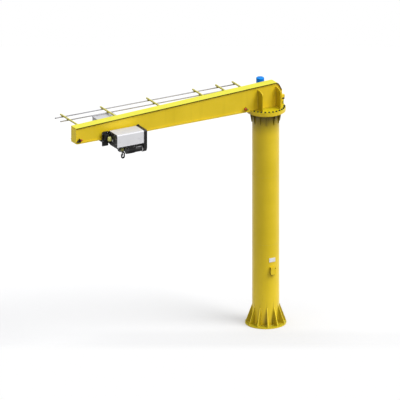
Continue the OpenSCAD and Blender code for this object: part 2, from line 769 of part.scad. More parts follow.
// Brackets on the wheel ledges that carry the buffers; each stands on a welded foot
module end_stops() {
    y0 = web_over / 2;
    y1 = frame_out + 5;
    tip_back = tip_buffer_x + buffer_l;
    rear_back = rear_buffer_x - buffer_l;
    foot_z = ledge_z + stop_foot;
    color(yellow) both_sides() {
        block([tip_back, y0, ledge_z], [tip_x - tip_t, bottom_w / 2, foot_z]);
        block([rear_back - 80, y0, ledge_z], [rear_back, bottom_w / 2, foot_z]);
    }
    color(dark) both_sides() {
        block([tip_back, y0, foot_z], [tip_back + stop_t, y1, ledge_z + stop_h]);
        block([tip_back + stop_t, y0 + 10, foot_z], [tip_x - tip_t, y1 - 20, foot_z + stop_t]);
        side_shape([[tip_back + stop_t, foot_z + stop_t], [tip_x - tip_t - 10, foot_z + stop_t],
            [tip_back + stop_t, ledge_z + stop_h - 16]], y0 + 14, y0 + 26);
    }
    color(olive) both_sides() {
        block([rear_back - stop_t, y0, foot_z], [rear_back, y1, ledge_z + stop_h]);
        block([rear_back - 70, y0 + 10, foot_z], [rear_back - stop_t, bottom_w / 2 - 2, foot_z + stop_t]);
        side_shape([[rear_back - stop_t, foot_z + stop_t], [rear_back - stop_t, ledge_z + stop_h - 16],
            [rear_back - 66, foot_z + stop_t]], y0 + 14, y0 + 26);
    }
}

module buffers() {
    y = frame_y + 2;
    z = ledge_z + stop_h - buffer_r - 2;
    color(red) both_sides() {
        along_x(tip_buffer_x + 8, tip_buffer_x + buffer_l, buffer_r, y, z);
        along_x(tip_buffer_x, tip_buffer_x + 9, buffer_r - 7, y, z);
        along_x(rear_buffer_x - buffer_l, rear_buffer_x - 8, buffer_r, y, z);
        along_x(rear_buffer_x - 9, rear_buffer_x, buffer_r - 7, y, z);
    }
}

module slew_gearbox() {
    color(dark) difference() {
        translate([0, pinion_y, 0]) {
            translate([0, 0, turn_z + 2]) cylinder(r = spigot_r, h = turntable_t);
            translate([0, 0, girder_z]) cylinder(r = gearbox_flange_r, h = 22);
            translate([0, 0, girder_z + 20]) cylinder(r = gearbox_r - 8, h = gearbox_h - 20);
            for (i = [0:3]) translate([0, 0, girder_z + 50 + 52 * i])
                cylinder(r = gearbox_r, h = 34);
        }
        translate([0, pinion_y, turn_z - 10]) cylinder(r = slew_shaft_r + run_gap, h = 100);
    }
    color(steel) translate([0, pinion_y, girder_z + 22]) spread(8, 22.5)
        translate([gearbox_flange_r - 12, 0, 0]) cylinder(r = 8, h = 8, $fn = 6);
}

module slew_motor() {
    z0 = girder_z + gearbox_h;
    z1 = girder_z + motor_top - fan_cover_h - 14;
    color(blue) translate([0, pinion_y, 0]) union() {
        translate([0, 0, z0]) cylinder(r = motor_r, h = 16);
        translate([0, 0, z0]) cylinder(r = motor_r - 12, h = z1 - z0);
        difference() {
            spread(24, 7.5) block([40, -2, z0 + 16], [motor_r - 2, 2, z1]);
            translate([0, 0, z0]) cylinder(r = 30, h = 400);
        }
        translate([0, 0, z1 - 10]) cylinder(r = motor_r - 2, h = 10);
        block([motor_r - 20, -34, z0 + 30], [motor_r + 34, 34, z0 + 110]);
    }
}

// Fan cover: a shell over the upper end of the motor with a low domed top
module fan_cover() {
    z1 = girder_z + motor_top;
    z0 = z1 - fan_cover_h;
    dome = 22;
    color(blue) translate([0, pinion_y, 0]) rotate_extrude($fn = 64) polygon(concat(
        [[0, z1 - 3], [0, z1]], [for (i = [1:6]) [(motor_r - dome) + dome * sin(15 * i),
            z1 - dome + (dome - 4) * cos(15 * i)]],
        [[motor_r, z0], [motor_r - 3, z0], [motor_r - 3, z1 - dome]],
        [[motor_r - dome, z1 - 7]]));
    color(dark) translate([0, pinion_y, 0]) {
        translate([0, 0, z0 - 14]) cylinder(r = motor_r - 14, h = 15);
        translate([0, 0, z0]) cylinder(r = motor_r - 3 - seat_gap, h = 16);
    }
}

module slew_pinion() {
    color(steel) translate([0, pinion_y, 0]) union() {
        translate([0, 0, pinion_z]) linear_extrude(height = pinion_w)
            gear_face(pinion_teeth, pinion_r - 1.25 * gear_module, pinion_r + gear_module, backlash);
        translate([0, 0, pinion_z + 1]) cylinder(r = slew_shaft_r, h = girder_z + 60 - pinion_z);
    }
}

// Side plate outline; drop is how far its middle reaches down and toe how far its front end does
module side_plate(drop, toe) {
    low = girder_z - 90;
    dip = frame_top - plate_dip;
    side_shape([[frame_x0, low], [cross_x[0] - 30, low], [cross_x[0] - 20, low - drop],
        [cross_x[1] + 30, low - drop], [cross_x[1] + 40, low], [cover_x1 + 25, low],
        [cover_x1 + 25, low - toe], [frame_x1, low - toe], [frame_x1, frame_top - 20],
        [frame_x1 - 20, frame_top], [cover_x1 + 25, frame_top], [cover_x1, dip],
        [frame_x0 + ear_l + 20, dip], [frame_x0 + ear_l, frame_top + ear_h],
        [frame_x0, frame_top + ear_h]], frame_y, frame_out);
}

module trolley_frame() {
    color(dark) difference() {
        union() {
            side_plate(0, 56);
            mirror([0, 1, 0]) side_plate(110, 30);
            for (x = cross_x) block([x, -frame_y, sheave_z - 50], [x + cross_t, frame_y, girder_z - 30]);
            block([cross_x[0] + cross_t, -42, sheave_z - 40], [cross_x[1], -30, sheave_z + 40]);
            block([lead_x + 30, deflect_y - 40, sheave_z - 40], [lead_x + 40, frame_y, girder_z - 40]);
            block([dead_x - 16, 44, sheave_z], [cross_x[1] + 1, 76, sheave_z + 50]);
            along_y(-frame_y, frame_y, 22, frame_x1 - 60, girder_z - 70);
            along_y(-frame_y, frame_y, 22, frame_x0 + 60, girder_z - 70);
            for (x = [ebox_x0 + 80, ebox_x0 + ebox_l - 72])
                block([x - 20, -ebox_y, girder_z + 40], [x + 20, -frame_out, girder_z + 80]);
        }
        block([lead_x - 38, deflect_y - 60, sheave_z - 70],
            [lead_x + 28, frame_out + 1, lead_z + 25]);
        along_y(-frame_out - 1, -20, sheave_bore + weld_gap, hook_x, sheave_z);
        along_x(cross_x[0] - 1, lead_x + 41, sheave_bore + weld_gap, deflect_y, sheave_z);
        for (x = wheel_list) for (s = [-1, 1])
            along_y(s * (frame_y + frame_t / 2) - frame_t, s * (frame_y + frame_t / 2) + frame_t,
                axle_r + weld_gap, x, wheel_z);
    }
}

// Wheel axles with their caps, and the axles of the two upper sheaves
module axles() {
    color(steel) {
        both_sides() for (x = wheel_list) {
            along_y(wheel_y, frame_out, axle_r, x, wheel_z);
            along_y(frame_out, frame_out + 8, axle_r + 10, x, wheel_z);
        }
        along_y(-frame_out - 6, -26, sheave_bore, hook_x, sheave_z);
        along_x(cross_x[0] - 6, lead_x + 46, sheave_bore, deflect_y, sheave_z);
    }
}

module drum_end_plate() {
    y0 = frame_out;
    top = cover_base + cover_h;
    color(dark) difference() {
        translate([cover_x1, 0, 0]) rotate([90, 0, 90]) linear_extrude(height = 14) union() {
            polygon([[y0, cover_base + 2], [y0 + 80, cover_base - 22], [cover_y1, cover_base - 22],
                [cover_y1, top - 40], [cover_y1 - 40, top], [y0, top]]);
            translate([cover_y1 - 40, top - 40]) circle(r = 40);
        }
        along_x(cover_x1 - 1, cover_x1 + 15, drum_shaft_r + run_gap, drum_y, drum_z);
    }
    color(dark) difference() {
        along_x(cover_x1 + 14, cover_x1 + 24, 48, drum_y, drum_z);
        along_x(cover_x1 + 13, cover_x1 + 25, drum_shaft_r + run_gap, drum_y, drum_z);
    }
}

module hoist_gearbox() {
    y0 = frame_out;
    top = cover_base + cover_h;
    corner = 25;
    color(dark) difference() {
        translate([frame_x0, 0, 0]) rotate([90, 0, 90])
            linear_extrude(height = case_x1 - frame_x0) union() {
                polygon([[y0, cover_base], [hoist_motor_y - lobe_r, cover_base],
                    [hoist_motor_y - lobe_r, motor_z], [hoist_motor_y + lobe_r, motor_z],
                    [cover_y1, motor_z + case_rise], [cover_y1, top - corner],
                    [cover_y1 - corner, top], [y0, top]]);
                translate([hoist_motor_y, motor_z]) circle(r = lobe_r);
            }
        along_x(case_x1 - 40, case_x1 + 1, drum_shaft_r + run_gap, drum_y, drum_z);
    }
    color(dark) along_x(frame_x0 - 12, frame_x0, 70, drum_y, drum_z);
    color(dark) along_x(frame_x0 - 12, frame_x0, 50, hoist_motor_y, motor_z);
}

// Outline of the cover at the distance t inside its outer face
module cover_face(t) {
    top = cover_base + cover_h - t;
    r = cover_round - t;
    translate([cover_y0 + t, cover_base]) square([cover_y1 - cover_y0 - 2 * t, cover_h - t - r]);
    translate([cover_y0 + t, cover_base]) square([cover_y1 - cover_y0 - 2 * t - r, cover_h - t]);
    translate([cover_y1 - t - r, top - r]) circle(r = r);
}

module hoist_cover() {
    x0 = case_x1 + seat_gap;
    length = cover_x1 - case_x1 - 2 * seat_gap;
    color(light_grey) difference() {
        translate([x0, 0, 0]) rotate([90, 0, 90]) linear_extrude(height = length)
            cover_face(0);
        translate([x0 - 1, 0, -1]) rotate([90, 0, 90]) linear_extrude(height = length + 2)
            cover_face(cover_t);
        block([x0 - 1, cover_y0 - 1, cover_base - 1],
            [cover_x1 + 1, cover_y0 + cover_t + 1, lead_z + 25]);
    }
}

module motor_bell() {
    color(light_grey) difference() {
        along_x(case_x1, case_x1 + bell_l, brake_r + 4, hoist_motor_y, motor_z);
        along_x(case_x1 + 6, case_x1 + bell_l + 1, brake_r - 12, hoist_motor_y, motor_z);
    }
}

module hoist_brake() {
    x0 = case_x1 + bell_l;
    x1 = x0 + brake_l;
    color(dark) {
        along_x(x0, x1 - 10, brake_r, hoist_motor_y, motor_z);
        along_x(x1 - 10, x1, brake_r - 12, hoist_motor_y, motor_z);
    }
}

module hoist_motor() {
    x0 = case_x1 + bell_l + brake_l;
    x1 = x0 + hoist_motor_l;
    color(dark) union() {
        along_x(x0, x0 + 14, hoist_motor_r, hoist_motor_y, motor_z);
        along_x(x0, x1 - 46, hoist_motor_r - 9, hoist_motor_y, motor_z);
        difference() {
            translate([0, hoist_motor_y, motor_z]) rotate([90, 0, 0]) rotate([0, 90, 0])
                spread(24, 7.5) block([30, -2, x0 + 10], [hoist_motor_r - 1, 2, x1 - 46]);
            along_x(x0, x1, 20, hoist_motor_y, motor_z);
        }
        along_x(x1 - 60, x1, hoist_motor_r, hoist_motor_y, motor_z);
        block([x0 + 24, hoist_motor_y - 44, motor_z + 20],
            [x1 - 24, hoist_motor_y + 44, motor_z + terminal_h]);
    }
}

// Travel gearbox beside the front wheel with the shelf that carries its motor
module travel_gearbox() {
    x0 = wheel_list[1] - 68;
    x1 = wheel_list[1] + 58;
    y0 = frame_out;
    y1 = y0 + 70;
    pocket = 8 + seat_gap;
    shelf_x0 = travel_x - 28;
    shelf_x1 = travel_x + 36;
    shelf_t = 8;
    color(dark) union() {
        difference() {
            block([x0, y0, wheel_z - 60], [x1, y1, wheel_z + 60]);
            along_y(y0 - 1, y0 + pocket, axle_r + 10 + seat_gap, wheel_list[1], wheel_z);
        }
        block([shelf_x0, y1 - 2, travel_z - shelf_t], [shelf_x1, travel_y + 28, travel_z]);
        block([shelf_x0, y1 - 2, travel_z - 26], [shelf_x1, y1 + shelf_t, travel_z + 30]);
    }
}

module travel_motor() {
    cap = 12;
    color([0.86, 0.86, 0.5]) {
        translate([travel_x, travel_y, travel_z]) cylinder(r = travel_r, h = travel_h - cap);
        translate([travel_x, travel_y, travel_z + travel_h - cap]) cylinder(r = travel_r - 6, h = cap);
    }
}

module electrics_box() {
    x1 = ebox_x0 + ebox_l;
    y1 = ebox_y + ebox_w;
    z0 = girder_z - ebox_drop;
    z1 = girder_z + ebox_top;
    wall = 4;
    rim = 6;
    color(light_grey) {
        difference() {
            block([ebox_x0, -y1, z0], [x1, -ebox_y, z1 - ebox_lid]);
            block([ebox_x0 + wall, wall - y1, z0 + wall],
                [x1 - wall, -ebox_y - wall, z1 - ebox_lid - wall]);
        }
        block([ebox_x0 - rim, -y1 - rim, z1 - ebox_lid], [x1 + rim, rim - ebox_y, z1]);
    }
}

// Rope that stays with the trolley: the lead from the drum and the two upper turns
module trolley_rope() {
    color(steel) {
        translate([lead_x, deflect_y, sheave_z]) rotate([90, 0, 90]) union() {
            rotate([0, 0, 90]) rotate_extrude(angle = 90)
                translate([deflect_r, 0]) circle(r = rope_r, $fn = 24);
            translate([0, deflect_r, 0]) rotate([0, 90, 0])
                cylinder(r = rope_r, h = drum_y - deflect_y, $fn = 24);
        }
        translate([hook_x, -sheave_r, sheave_z]) rotate([90, 0, 0])
            rotate_extrude(angle = 180) translate([sheave_gap, 0]) circle(r = rope_r, $fn = 24);
    }
}

module rope_drum() {
    color(steel) difference() {
        union() {
            along_x(drum_x0, drum_x1, drum_r - 0.4, drum_y, drum_z);
            along_x(drum_x0, drum_x0 + 10, drum_r + 14, drum_y, drum_z);
            along_x(drum_x1 - 10, drum_x1, drum_r + 14, drum_y, drum_z);
            along_x(case_x1 - 36, cover_x1 + 34, drum_shaft_r, drum_y, drum_z);
        }
        difference() {
            along_x(drum_x0 + 14, drum_x1 - 14, drum_r - 14, drum_y, drum_z);
            along_x(drum_x0, drum_x1, drum_shaft_r, drum_y, drum_z);
        }
    }
}

// Layer of rope on the drum, one rounded ridge for each turn
module drum_rope() {
    x0 = lead_x + rope_r + 1;
    color(steel) translate([x0, drum_y, drum_z]) rotate([0, 90, 0]) rotate_extrude($fn = 64)
        polygon(concat([[drum_r - 0.4 + weld_gap, 0]], [for (i = [0:rope_turns - 1])
            for (s = [0, 0.25, 0.75]) [drum_r + (s == 0 ? 4 : rope_d), rope_pitch * (i + s)]],
            [[drum_r + 4, rope_pitch * rope_turns], [drum_r - 0.4 + weld_gap, rope_pitch * rope_turns]]));
}

// Flanged wheel on the ledge, with its flange outside the ledge
module wheel(x) {
    e = wheel_edge;
    color(steel) translate([x, 0, wheel_z]) rotate([-90, 0, 0]) rotate_extrude() polygon([
        [axle_r + run_gap, wheel_y], [axle_r + 16, wheel_y], [axle_r + 16, wheel_y + 6],
        [wheel_r - 14, wheel_y + 6], [wheel_r - 14, wheel_y], [wheel_r, wheel_y],
        [wheel_r, e], [wheel_r + wheel_flange, e + 1], [wheel_r + wheel_flange, e + 7],
        [wheel_r - 8, e + 8], [wheel_r - 14, e + 2], [axle_r + 16, e + 2],
        [axle_r + 12, e + 12], [axle_r + run_gap, e + 12]]);
}

module wheel_near_front() {
    wheel(wheel_list[1]);
}

module wheel_near_rear() {
    wheel(wheel_list[0]);
}

module wheel_far_front() {
    mirror([0, 1, 0]) wheel(wheel_list[1]);
}

module wheel_far_rear() {
    mirror([0, 1, 0]) wheel(wheel_list[0]);
}

// Grooved rope sheave about the Z axis
module sheave(r) {
    h = sheave_w / 2;
    color(steel) difference() {
        rotate_extrude() polygon([[sheave_bore + run_gap, -h], [sheave_bore + 12, -h],
            [sheave_bore + 14, -6], [r - 14, -6], [r - 8, -h + 2], [r + 6, -h + 2], [r + 6, -h + 5],
            [r - rope_r - seat_gap, -2], [r - rope_r - seat_gap, 2], [r + 6, h - 5], [r + 6, h - 2],
            [r - 8, h - 2], [r - 14, 6], [sheave_bore + 14, 6], [sheave_bore + 12, h],
            [sheave_bore + run_gap, h]]);
        rotate_extrude() translate([r, 0]) circle(r = rope_r + seat_gap, $fn = 32);
    }
}

module deflection_sheave() {
    translate([lead_x, deflect_y, sheave_z]) rotate([0, 90, 0]) sheave(deflect_r);
}

module upper_sheave() {
    translate([hook_x, -sheave_r, sheave_z]) rotate([90, 0, 0]) sheave(sheave_gap);
}

module block_sheave_a() {
    translate([lead_x, 0, block_z]) rotate([0, 90, 0]) sheave(sheave_r);
}

module block_sheave_b() {
    translate([dead_x, 0, block_z]) rotate([0, 90, 0]) sheave(sheave_r);
}

// Four cheek plates, two on each sheave
module block_cheeks() {
    gap = sheave_w / 2 + 1;
    color(dark) for (x = [lead_x, dead_x]) for (s = [-1, 1]) difference() {
        translate([x + s * (gap + cheek_t / 2) - cheek_t / 2, 0, 0])
            rotate([90, 0, 90]) linear_extrude(height = cheek_t) union() {
                translate([0, block_z]) circle(r = sheave_r + 16);
                translate([-sheave_r - 16, crosshead_z + 20])
                    square([2 * sheave_r + 32, block_z - crosshead_z - 20]);
                translate([-sheave_r + 4, crosshead_z]) square([2 * sheave_r - 8, 30]);
            }
        along_x(x - 40, x + 40, sheave_bore + weld_gap, 0, block_z);
    }
}

module block_crosshead() {
    reach = sheave_gap - sheave_w / 2 - 1 - cheek_t;
    color(dark) difference() {
        block([hook_x - reach, -44, crosshead_z], [hook_x + reach, 44, crosshead_z + crosshead_h]);
        translate([hook_x, 0, crosshead_z - 1])
            cylinder(r = shank_r + run_gap, h = crosshead_h + 2);
    }
}

module block_axle() {
    reach = sheave_gap + sheave_w / 2 + 1 + cheek_t;
    color(steel) {
        along_x(hook_x - reach, hook_x + reach, sheave_bore, 0, block_z);
        along_x(hook_x - reach - 8, hook_x - reach, sheave_bore + 8, 0, block_z);
        along_x(hook_x + reach, hook_x + reach + 8, sheave_bore + 8, 0, block_z);
    }
}

module block_rope() {
    color(steel) for (x = [lead_x, dead_x])
        translate([x, 0, block_z]) rotate([90, 0, 90]) rotate([0, 0, 180])
            rotate_extrude(angle = 180) translate([sheave_r, 0]) circle(r = rope_r, $fn = 24);
}

module rope_falls() {
    color(steel) for (x = [lead_x, dead_x]) for (y = [-sheave_r, sheave_r])
        translate([x, y, block_z]) cylinder(r = rope_r, h = sheave_z - block_z, $fn = 24);
}

// Point hook: bowl, back, neck and shank with its nut
module hook() {
    color(dark) translate([hook_x, 0, hook_z]) {
        union() {
            rotate([90, 0, 0]) rotate([0, 0, 180]) rotate_extrude(angle = 180)
                translate([hook_r, 0]) circle(r = hook_bar_r, $fn = 32);
            translate([-hook_r, 0, -0.5]) cylinder(r = hook_bar_r, h = 63.5, $fn = 32);
            translate([0, 0, 63]) rotate([90, 0, 0]) rotate([0, 0, 90]) rotate_extrude(angle = 90)
                translate([hook_r, 0]) circle(r = hook_bar_r, $fn = 32);
            translate([0, 0, 63 + hook_r]) sphere(r = shank_r, $fn = 32);
            translate([0, 0, 63 + hook_r])
                cylinder(r = shank_r, h = crosshead_z + crosshead_h + nut_h - hook_z - 63 - hook_r);
            translate([hook_r, 0, -0.5]) cylinder(r = hook_bar_r, h = 23, $fn = 32);
            translate([hook_r, 0, 22.5]) sphere(r = hook_bar_r, $fn = 32);
            for (s = [-1, 1]) difference() {
                union() {
                    block([8, s * 12 - 2, latch_z - 8], [latch_x, s * 12 + 2, latch_z + 8]);
                    along_y(s * 12 - 2, s * 12 + 2, 8, latch_x, latch_z);
                }
                along_y(-20, 20, 3 + weld_gap, latch_x, latch_z);
            }
        }
        difference() {
            translate([0, 0, crosshead_z + crosshead_h + seat_gap - hook_z])
                cylinder(r = 32, h = nut_h - 2, $fn = 6);
            translate([0, 0, crosshead_z + crosshead_h - hook_z])
                cylinder(r = shank_r + weld_gap, h = nut_h + 2);
        }
        translate([0, 0, crosshead_z - hook_z - 8 - seat_gap]) difference() {
            cylinder(r = 28, h = 8);
            translate([0, 0, -1]) cylinder(r = shank_r + weld_gap, h = 10);
        }
    }
    color(steel) translate([hook_x, 0, hook_z]) along_y(-15, 15, 3, latch_x, latch_z);
}

// Latch plate that hangs from its pin and closes on the inside of the point
module latch() {
    color(steel) translate([hook_x + latch_x, 0, hook_z + latch_z]) rotate([0, 11.5, 0])
        difference() {
            union() {
                along_y(-9.5, 9.5, 7, 0, 0);
                block([-2, -9.5, -68], [2, 9.5, 0]);
            }
            along_y(-12, 12, 3 + run_gap, 0, 0);
        }
}

base_plate();
column_tube();
base_gussets();
head_gussets();
head_flange();
inner_ring();
inner_ring_bolts();
blank_plate();
supply_box();
box_door();
box_lock();
ball_set();
turntable();
outer_ring();
ring_bolts();
girder_webs();
girder_top();
girder_bottom();
end_plates();
diaphragms();
side_ribs();
rear_box();
cross_arms();
rail_clamps();
rails();
end_stops();
buffers();
slew_gearbox();
slew_motor();
fan_cover();
slew_pinion();
trolley_frame();
axles();
drum_end_plate();
hoist_gearbox();
hoist_cover();
motor_bell();
hoist_brake();
hoist_motor();
travel_gearbox();
travel_motor();
electrics_box();
trolley_rope();
rope_drum();
drum_rope();
wheel_near_front();
wheel_near_rear();
wheel_far_front();
wheel_far_rear();
deflection_sheave();
upper_sheave();
block_sheave_a();
block_sheave_b();
block_cheeks();
block_crosshead();
block_axle();
block_rope();
rope_falls();
hook();
latch();
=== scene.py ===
"""Looks of a floor-mounted slewing jib crane: enamel, steel, rope, welds, bolts and the photo stage."""

import json
import math

import bmesh
import bpy
from mathutils import Matrix, Vector


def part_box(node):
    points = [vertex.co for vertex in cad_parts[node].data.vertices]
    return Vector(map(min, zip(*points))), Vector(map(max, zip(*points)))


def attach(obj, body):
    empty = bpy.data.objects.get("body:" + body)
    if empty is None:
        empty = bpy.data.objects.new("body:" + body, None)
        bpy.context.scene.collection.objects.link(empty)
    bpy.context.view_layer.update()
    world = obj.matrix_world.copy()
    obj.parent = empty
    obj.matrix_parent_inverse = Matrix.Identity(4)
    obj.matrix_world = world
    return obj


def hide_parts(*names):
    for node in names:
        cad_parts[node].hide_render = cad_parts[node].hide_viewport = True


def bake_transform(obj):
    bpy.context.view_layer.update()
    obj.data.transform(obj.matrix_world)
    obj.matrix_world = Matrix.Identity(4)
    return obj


bl_info = {
    "name": "Jib crane looks",
    "version": (1, 0, 0),
    "blender": (4, 5, 0),
    "location": "View3D > Sidebar > Crane",
    "description": "Finishes and small pieces of a slewing jib crane",
    "category": "Object",
}

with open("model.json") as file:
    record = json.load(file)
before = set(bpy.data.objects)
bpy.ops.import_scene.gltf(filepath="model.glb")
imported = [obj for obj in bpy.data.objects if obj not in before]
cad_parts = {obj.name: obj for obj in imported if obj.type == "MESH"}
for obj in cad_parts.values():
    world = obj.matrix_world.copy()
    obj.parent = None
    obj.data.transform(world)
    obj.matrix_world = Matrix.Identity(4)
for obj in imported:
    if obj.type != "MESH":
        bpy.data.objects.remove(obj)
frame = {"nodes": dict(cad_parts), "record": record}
NODES = frame["nodes"]
BOX = {n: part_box(n) for n in NODES}
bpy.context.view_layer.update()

TURN_TOP = BOX["turntable"][1].z
WEB_Y = BOX["girder_webs"][1].y
TOP_Y = BOX["girder_top"][1].y
COLUMN_R = BOX["column_tube"][1].x
HEAD_Z = BOX["column_tube"][1].z
BASE_TOP = BOX["base_plate"][1].z
LEDGE_Z = BOX["girder_bottom"][1].z
HOOK_X = (BOX["block_axle"][0].x + BOX["block_axle"][1].x) / 2
BLOCK_Z = (BOX["block_axle"][0].z + BOX["block_axle"][1].z) / 2
FALL_TOP = BOX["rope_falls"][1].z
ROPE_R = (BOX["rope_falls"][1].x - BOX["rope_falls"][0].x - (BOX["block_sheave_b"][0].x
          - BOX["block_sheave_a"][0].x)) / 2
SHEAVE_R = BOX["rope_falls"][1].y - ROPE_R
SHEAVE_GAP = BOX["rope_falls"][1].x - ROPE_R - HOOK_X
DRUM = (BOX["rope_drum"][0] + BOX["rope_drum"][1]) / 2
MOTOR = (BOX["hoist_brake"][0] + BOX["hoist_brake"][1]) / 2
TOWER = (BOX["slew_gearbox"][0] + BOX["slew_gearbox"][1]) / 2

# Places on the crane that no node's box gives: along X, across Y or up Z
ARM_X = (4.707, 3.685, 2.5, 1.32, 0.73, 0.305)
RAIL_Y = (-0.66, -0.91)
RIB_X = (0.25, -0.21)
WHEEL_X = (3.5, 4.2)
TIE_X = (3.398, 4.224)
TIE_Z = 5.08
PIPE_SEAMS = (1.94, 3.55)
PLUG_X = 0.104
PLUG_UP = (0.09, 0.2)
# Height where painted shade under the column head begins
HEAD_SHADE_Z = HEAD_Z - 0.55
TOP_SEAM = (Vector((4.905, 0, 5.5067)), Vector((-0.15, 0, 5.7042)))
STOP_BOLT_X = (4.866, 4.896, 0.520, 0.548)
BUFFER_BAND_X = (4.802, 4.814, 4.826, 0.589, 0.601, 0.613)

# Seal, bolts with their caps, and grease nipples round the bearing
SEAL_R = 0.3915
RING_BOLT_R = 0.422
RING_BOLTS = 30
RING_CAP_R, RING_CAP_HEIGHT = 0.021, 0.016
NIPPLE_R = 0.446
NIPPLES = 4
NIPPLE_PHASE = math.radians(45)

# Base gussets of the column: number, spacing and half thickness, then lengths of the beads beside
# them and where their middles are, up from the base plate and out from the column
GUSSETS = 12
GUSSET_STEP = math.radians(360 / GUSSETS)
GUSSET_PHASE = math.radians(8)
GUSSET_HALF = 0.0085
GUSSET_BEAD, GUSSET_UP = 0.40, 0.21
FOOT_BEAD, FOOT_OUT = 0.135, 0.073

# Side ribs of the girder: their faces from their place, then lengths of the beads beside them and
# where their middles are, out from the web and up from the turntable
RIB_FACES = (-0.001, 0.013)
RIB_FOOT, RIB_OUT = 0.214, 0.11
RIB_BEAD, RIB_UP = 0.455, 0.238

# A bead's middle stands out of its corner by this share of its radius
BEAD_RISE = 0.3

# Radius and height of each kind of bolt head
LID_SCREW = (0.003, 0.003)
COVER_SCREW = (0.004, 0.003)
HUB_BOLT = (0.0045, 0.005)
DRUM_BOLT = (0.005, 0.005)
CLAMP_BOLT = (0.0055, 0.005)
CHEEK_BOLT = (0.006, 0.006)
SIDE_BOLT = (0.0065, 0.006)
STOP_BOLT = (0.007, 0.006)
END_PLATE_BOLT = (0.007, 0.007)
OIL_PLUG = (0.009, 0.008)
GEARBOX_BOLT = (0.009, 0.009)

# Places along and up of the bolts in the trolley's side plates, places across and up of those on
# the ends of the hoist, fins, bands and louvres of the hoist, and start, end, height and side of
# the weld beads on the trolley's frame
SIDE_BOLTS_FAR = ((3.62, 5.095), (3.84, 5.095), (4.02, 5.095), (3.44, 5.280), (3.62, 5.280),
                  (3.84, 5.280), (4.02, 5.280), (4.262, 5.055), (4.262, 5.12), (4.262, 5.30))
SIDE_BOLTS_NEAR = ((4.2705, 5.03), (4.2705, 5.13), (4.2705, 5.30), (4.215, 5.318), (4.155, 5.318))
END_PLATE_BOLTS = ((0.20, 5.30), (0.30, 5.315), (0.44, 5.315), (0.515, 5.26), (0.515, 5.14),
                   (0.515, 5.055), (0.40, 5.055), (0.28, 5.055))
GEARBOX_BOLTS = ((0.20, 5.31), (0.37, 5.32), (0.51, 5.31), (0.515, 5.17), (0.515, 5.03), (0.492, 4.858),
                 (0.45, 4.841), (0.394, 4.876), (0.20, 5.09), (0.20, 5.2))
FINS = 16
FIN_START = math.radians(35)
FIN_ARC = math.radians(290)
COVER_SCREWS, COVER_SCREW_STEP = 5, 0.152
LOUVRES, LOUVRE_STEP = 6, 0.016
GEARBOX_RIB_X = (3.36, 3.378, 3.396)
MOTOR_BAND_UP = (0.006, 0.050, 0.064)
BRAKE_BAND_X = (0.014, 0.05, 0.086, 0.122, 0.158)
FRAME_BEADS = ((3.345, 3.44, 5.0615, -1), (3.46, 4.02, 4.9515, -1), (3.425, 4.09, 5.2985, -1),
               (4.14, 4.26, 5.3395, -1), (4.14, 4.26, 5.3395, 1))

# Hook block: radii of the guard on its cheek and of the axle keeper, and the shrouds' place across
GUARD_R = 0.046
KEEPER_R = 0.017
SHROUD_Y = 0.0745

# Forged hook: radius of the bar and of its bend, the bend's middle up from the lowest point, then
# the point's radius, its place out and up, and the shifts and shares that draw it out
HOOK_BAR_R, HOOK_BEND_R, HOOK_BEND_UP = 0.0185, 0.0315, 0.05
POINT_R, POINT_OUT, POINT_UP = 0.0157, 0.034, 0.068
POINT_STEPS = ((0.0015, 0.013, 0.95), (0.0025, 0.013, 0.88), (0.003, 0.010, 0.8), (0.0025, 0.007, 0.66),
               (0.001, 0.003, 0.5))

# Latch: its cheeks' place across, their lean, and the spring's radius, wire, turns and pitch
CHEEK_Y = 0.0095
CHEEK_LEAN = math.radians(11.5)
SPRING_R, SPRING_WIRE = 0.0056, 0.0009
SPRING_TURNS, SPRING_PITCH = 5, 0.0012

# Radii of the pipe behind the rear box, of its foot and of its nut
PIPE_R, PIPE_FOOT_R, PIPE_NUT_R = 0.021, 0.025, 0.0255

# Picture: shift and distance of the camera, the floor and the lamp
PICTURE_RIGHT = -1.4732
PICTURE_UP = 2.7409
CAMERA_FAR = 22
CAMERA_CLIP = (0.5, 80)
FLOOR_SIZE = (40, 36, 1)
FLOOR_GAP = 0.0005
LAMP_RIGHT = 0.935
LAMP_FRONT = 0.355
LAMP_POWER = 2.36
LAMP_SPREAD = math.radians(34)

# Finishes by name, filled by the first operator
MADE = {}


def length_value(name, text, value, low, high):
    return bpy.props.FloatProperty(name=name, description=text, default=value, min=low, max=high,
                                   unit="LENGTH")


def angle_value(name, text, degrees):
    return bpy.props.FloatProperty(name=name, description=text, default=math.radians(degrees),
                                   subtype="ANGLE")


class CraneSizes(bpy.types.PropertyGroup):
    """Sizes that a user would change."""

    weld: length_value("Weld bead", "Radius of a weld bead", 0.006, 0.002, 0.012)
    bolt: length_value("Small bolt", "Radius of the small bolt heads", 0.009, 0.004, 0.015)
    frame_width: length_value("Picture width", "Width that the camera takes in", 8.972, 6, 12)
    view_turn: angle_value("View turn", "Turn of the camera round the crane", 151)
    view_rise: angle_value("View rise", "Height angle of the camera", 20)
    sun_rise: angle_value("Lamp rise", "Height angle of the lamp", 50)


def colour_value(name, text, value):
    return bpy.props.FloatVectorProperty(name=name, description=text, default=value, size=3,
                                         min=0, max=1, subtype="COLOR")


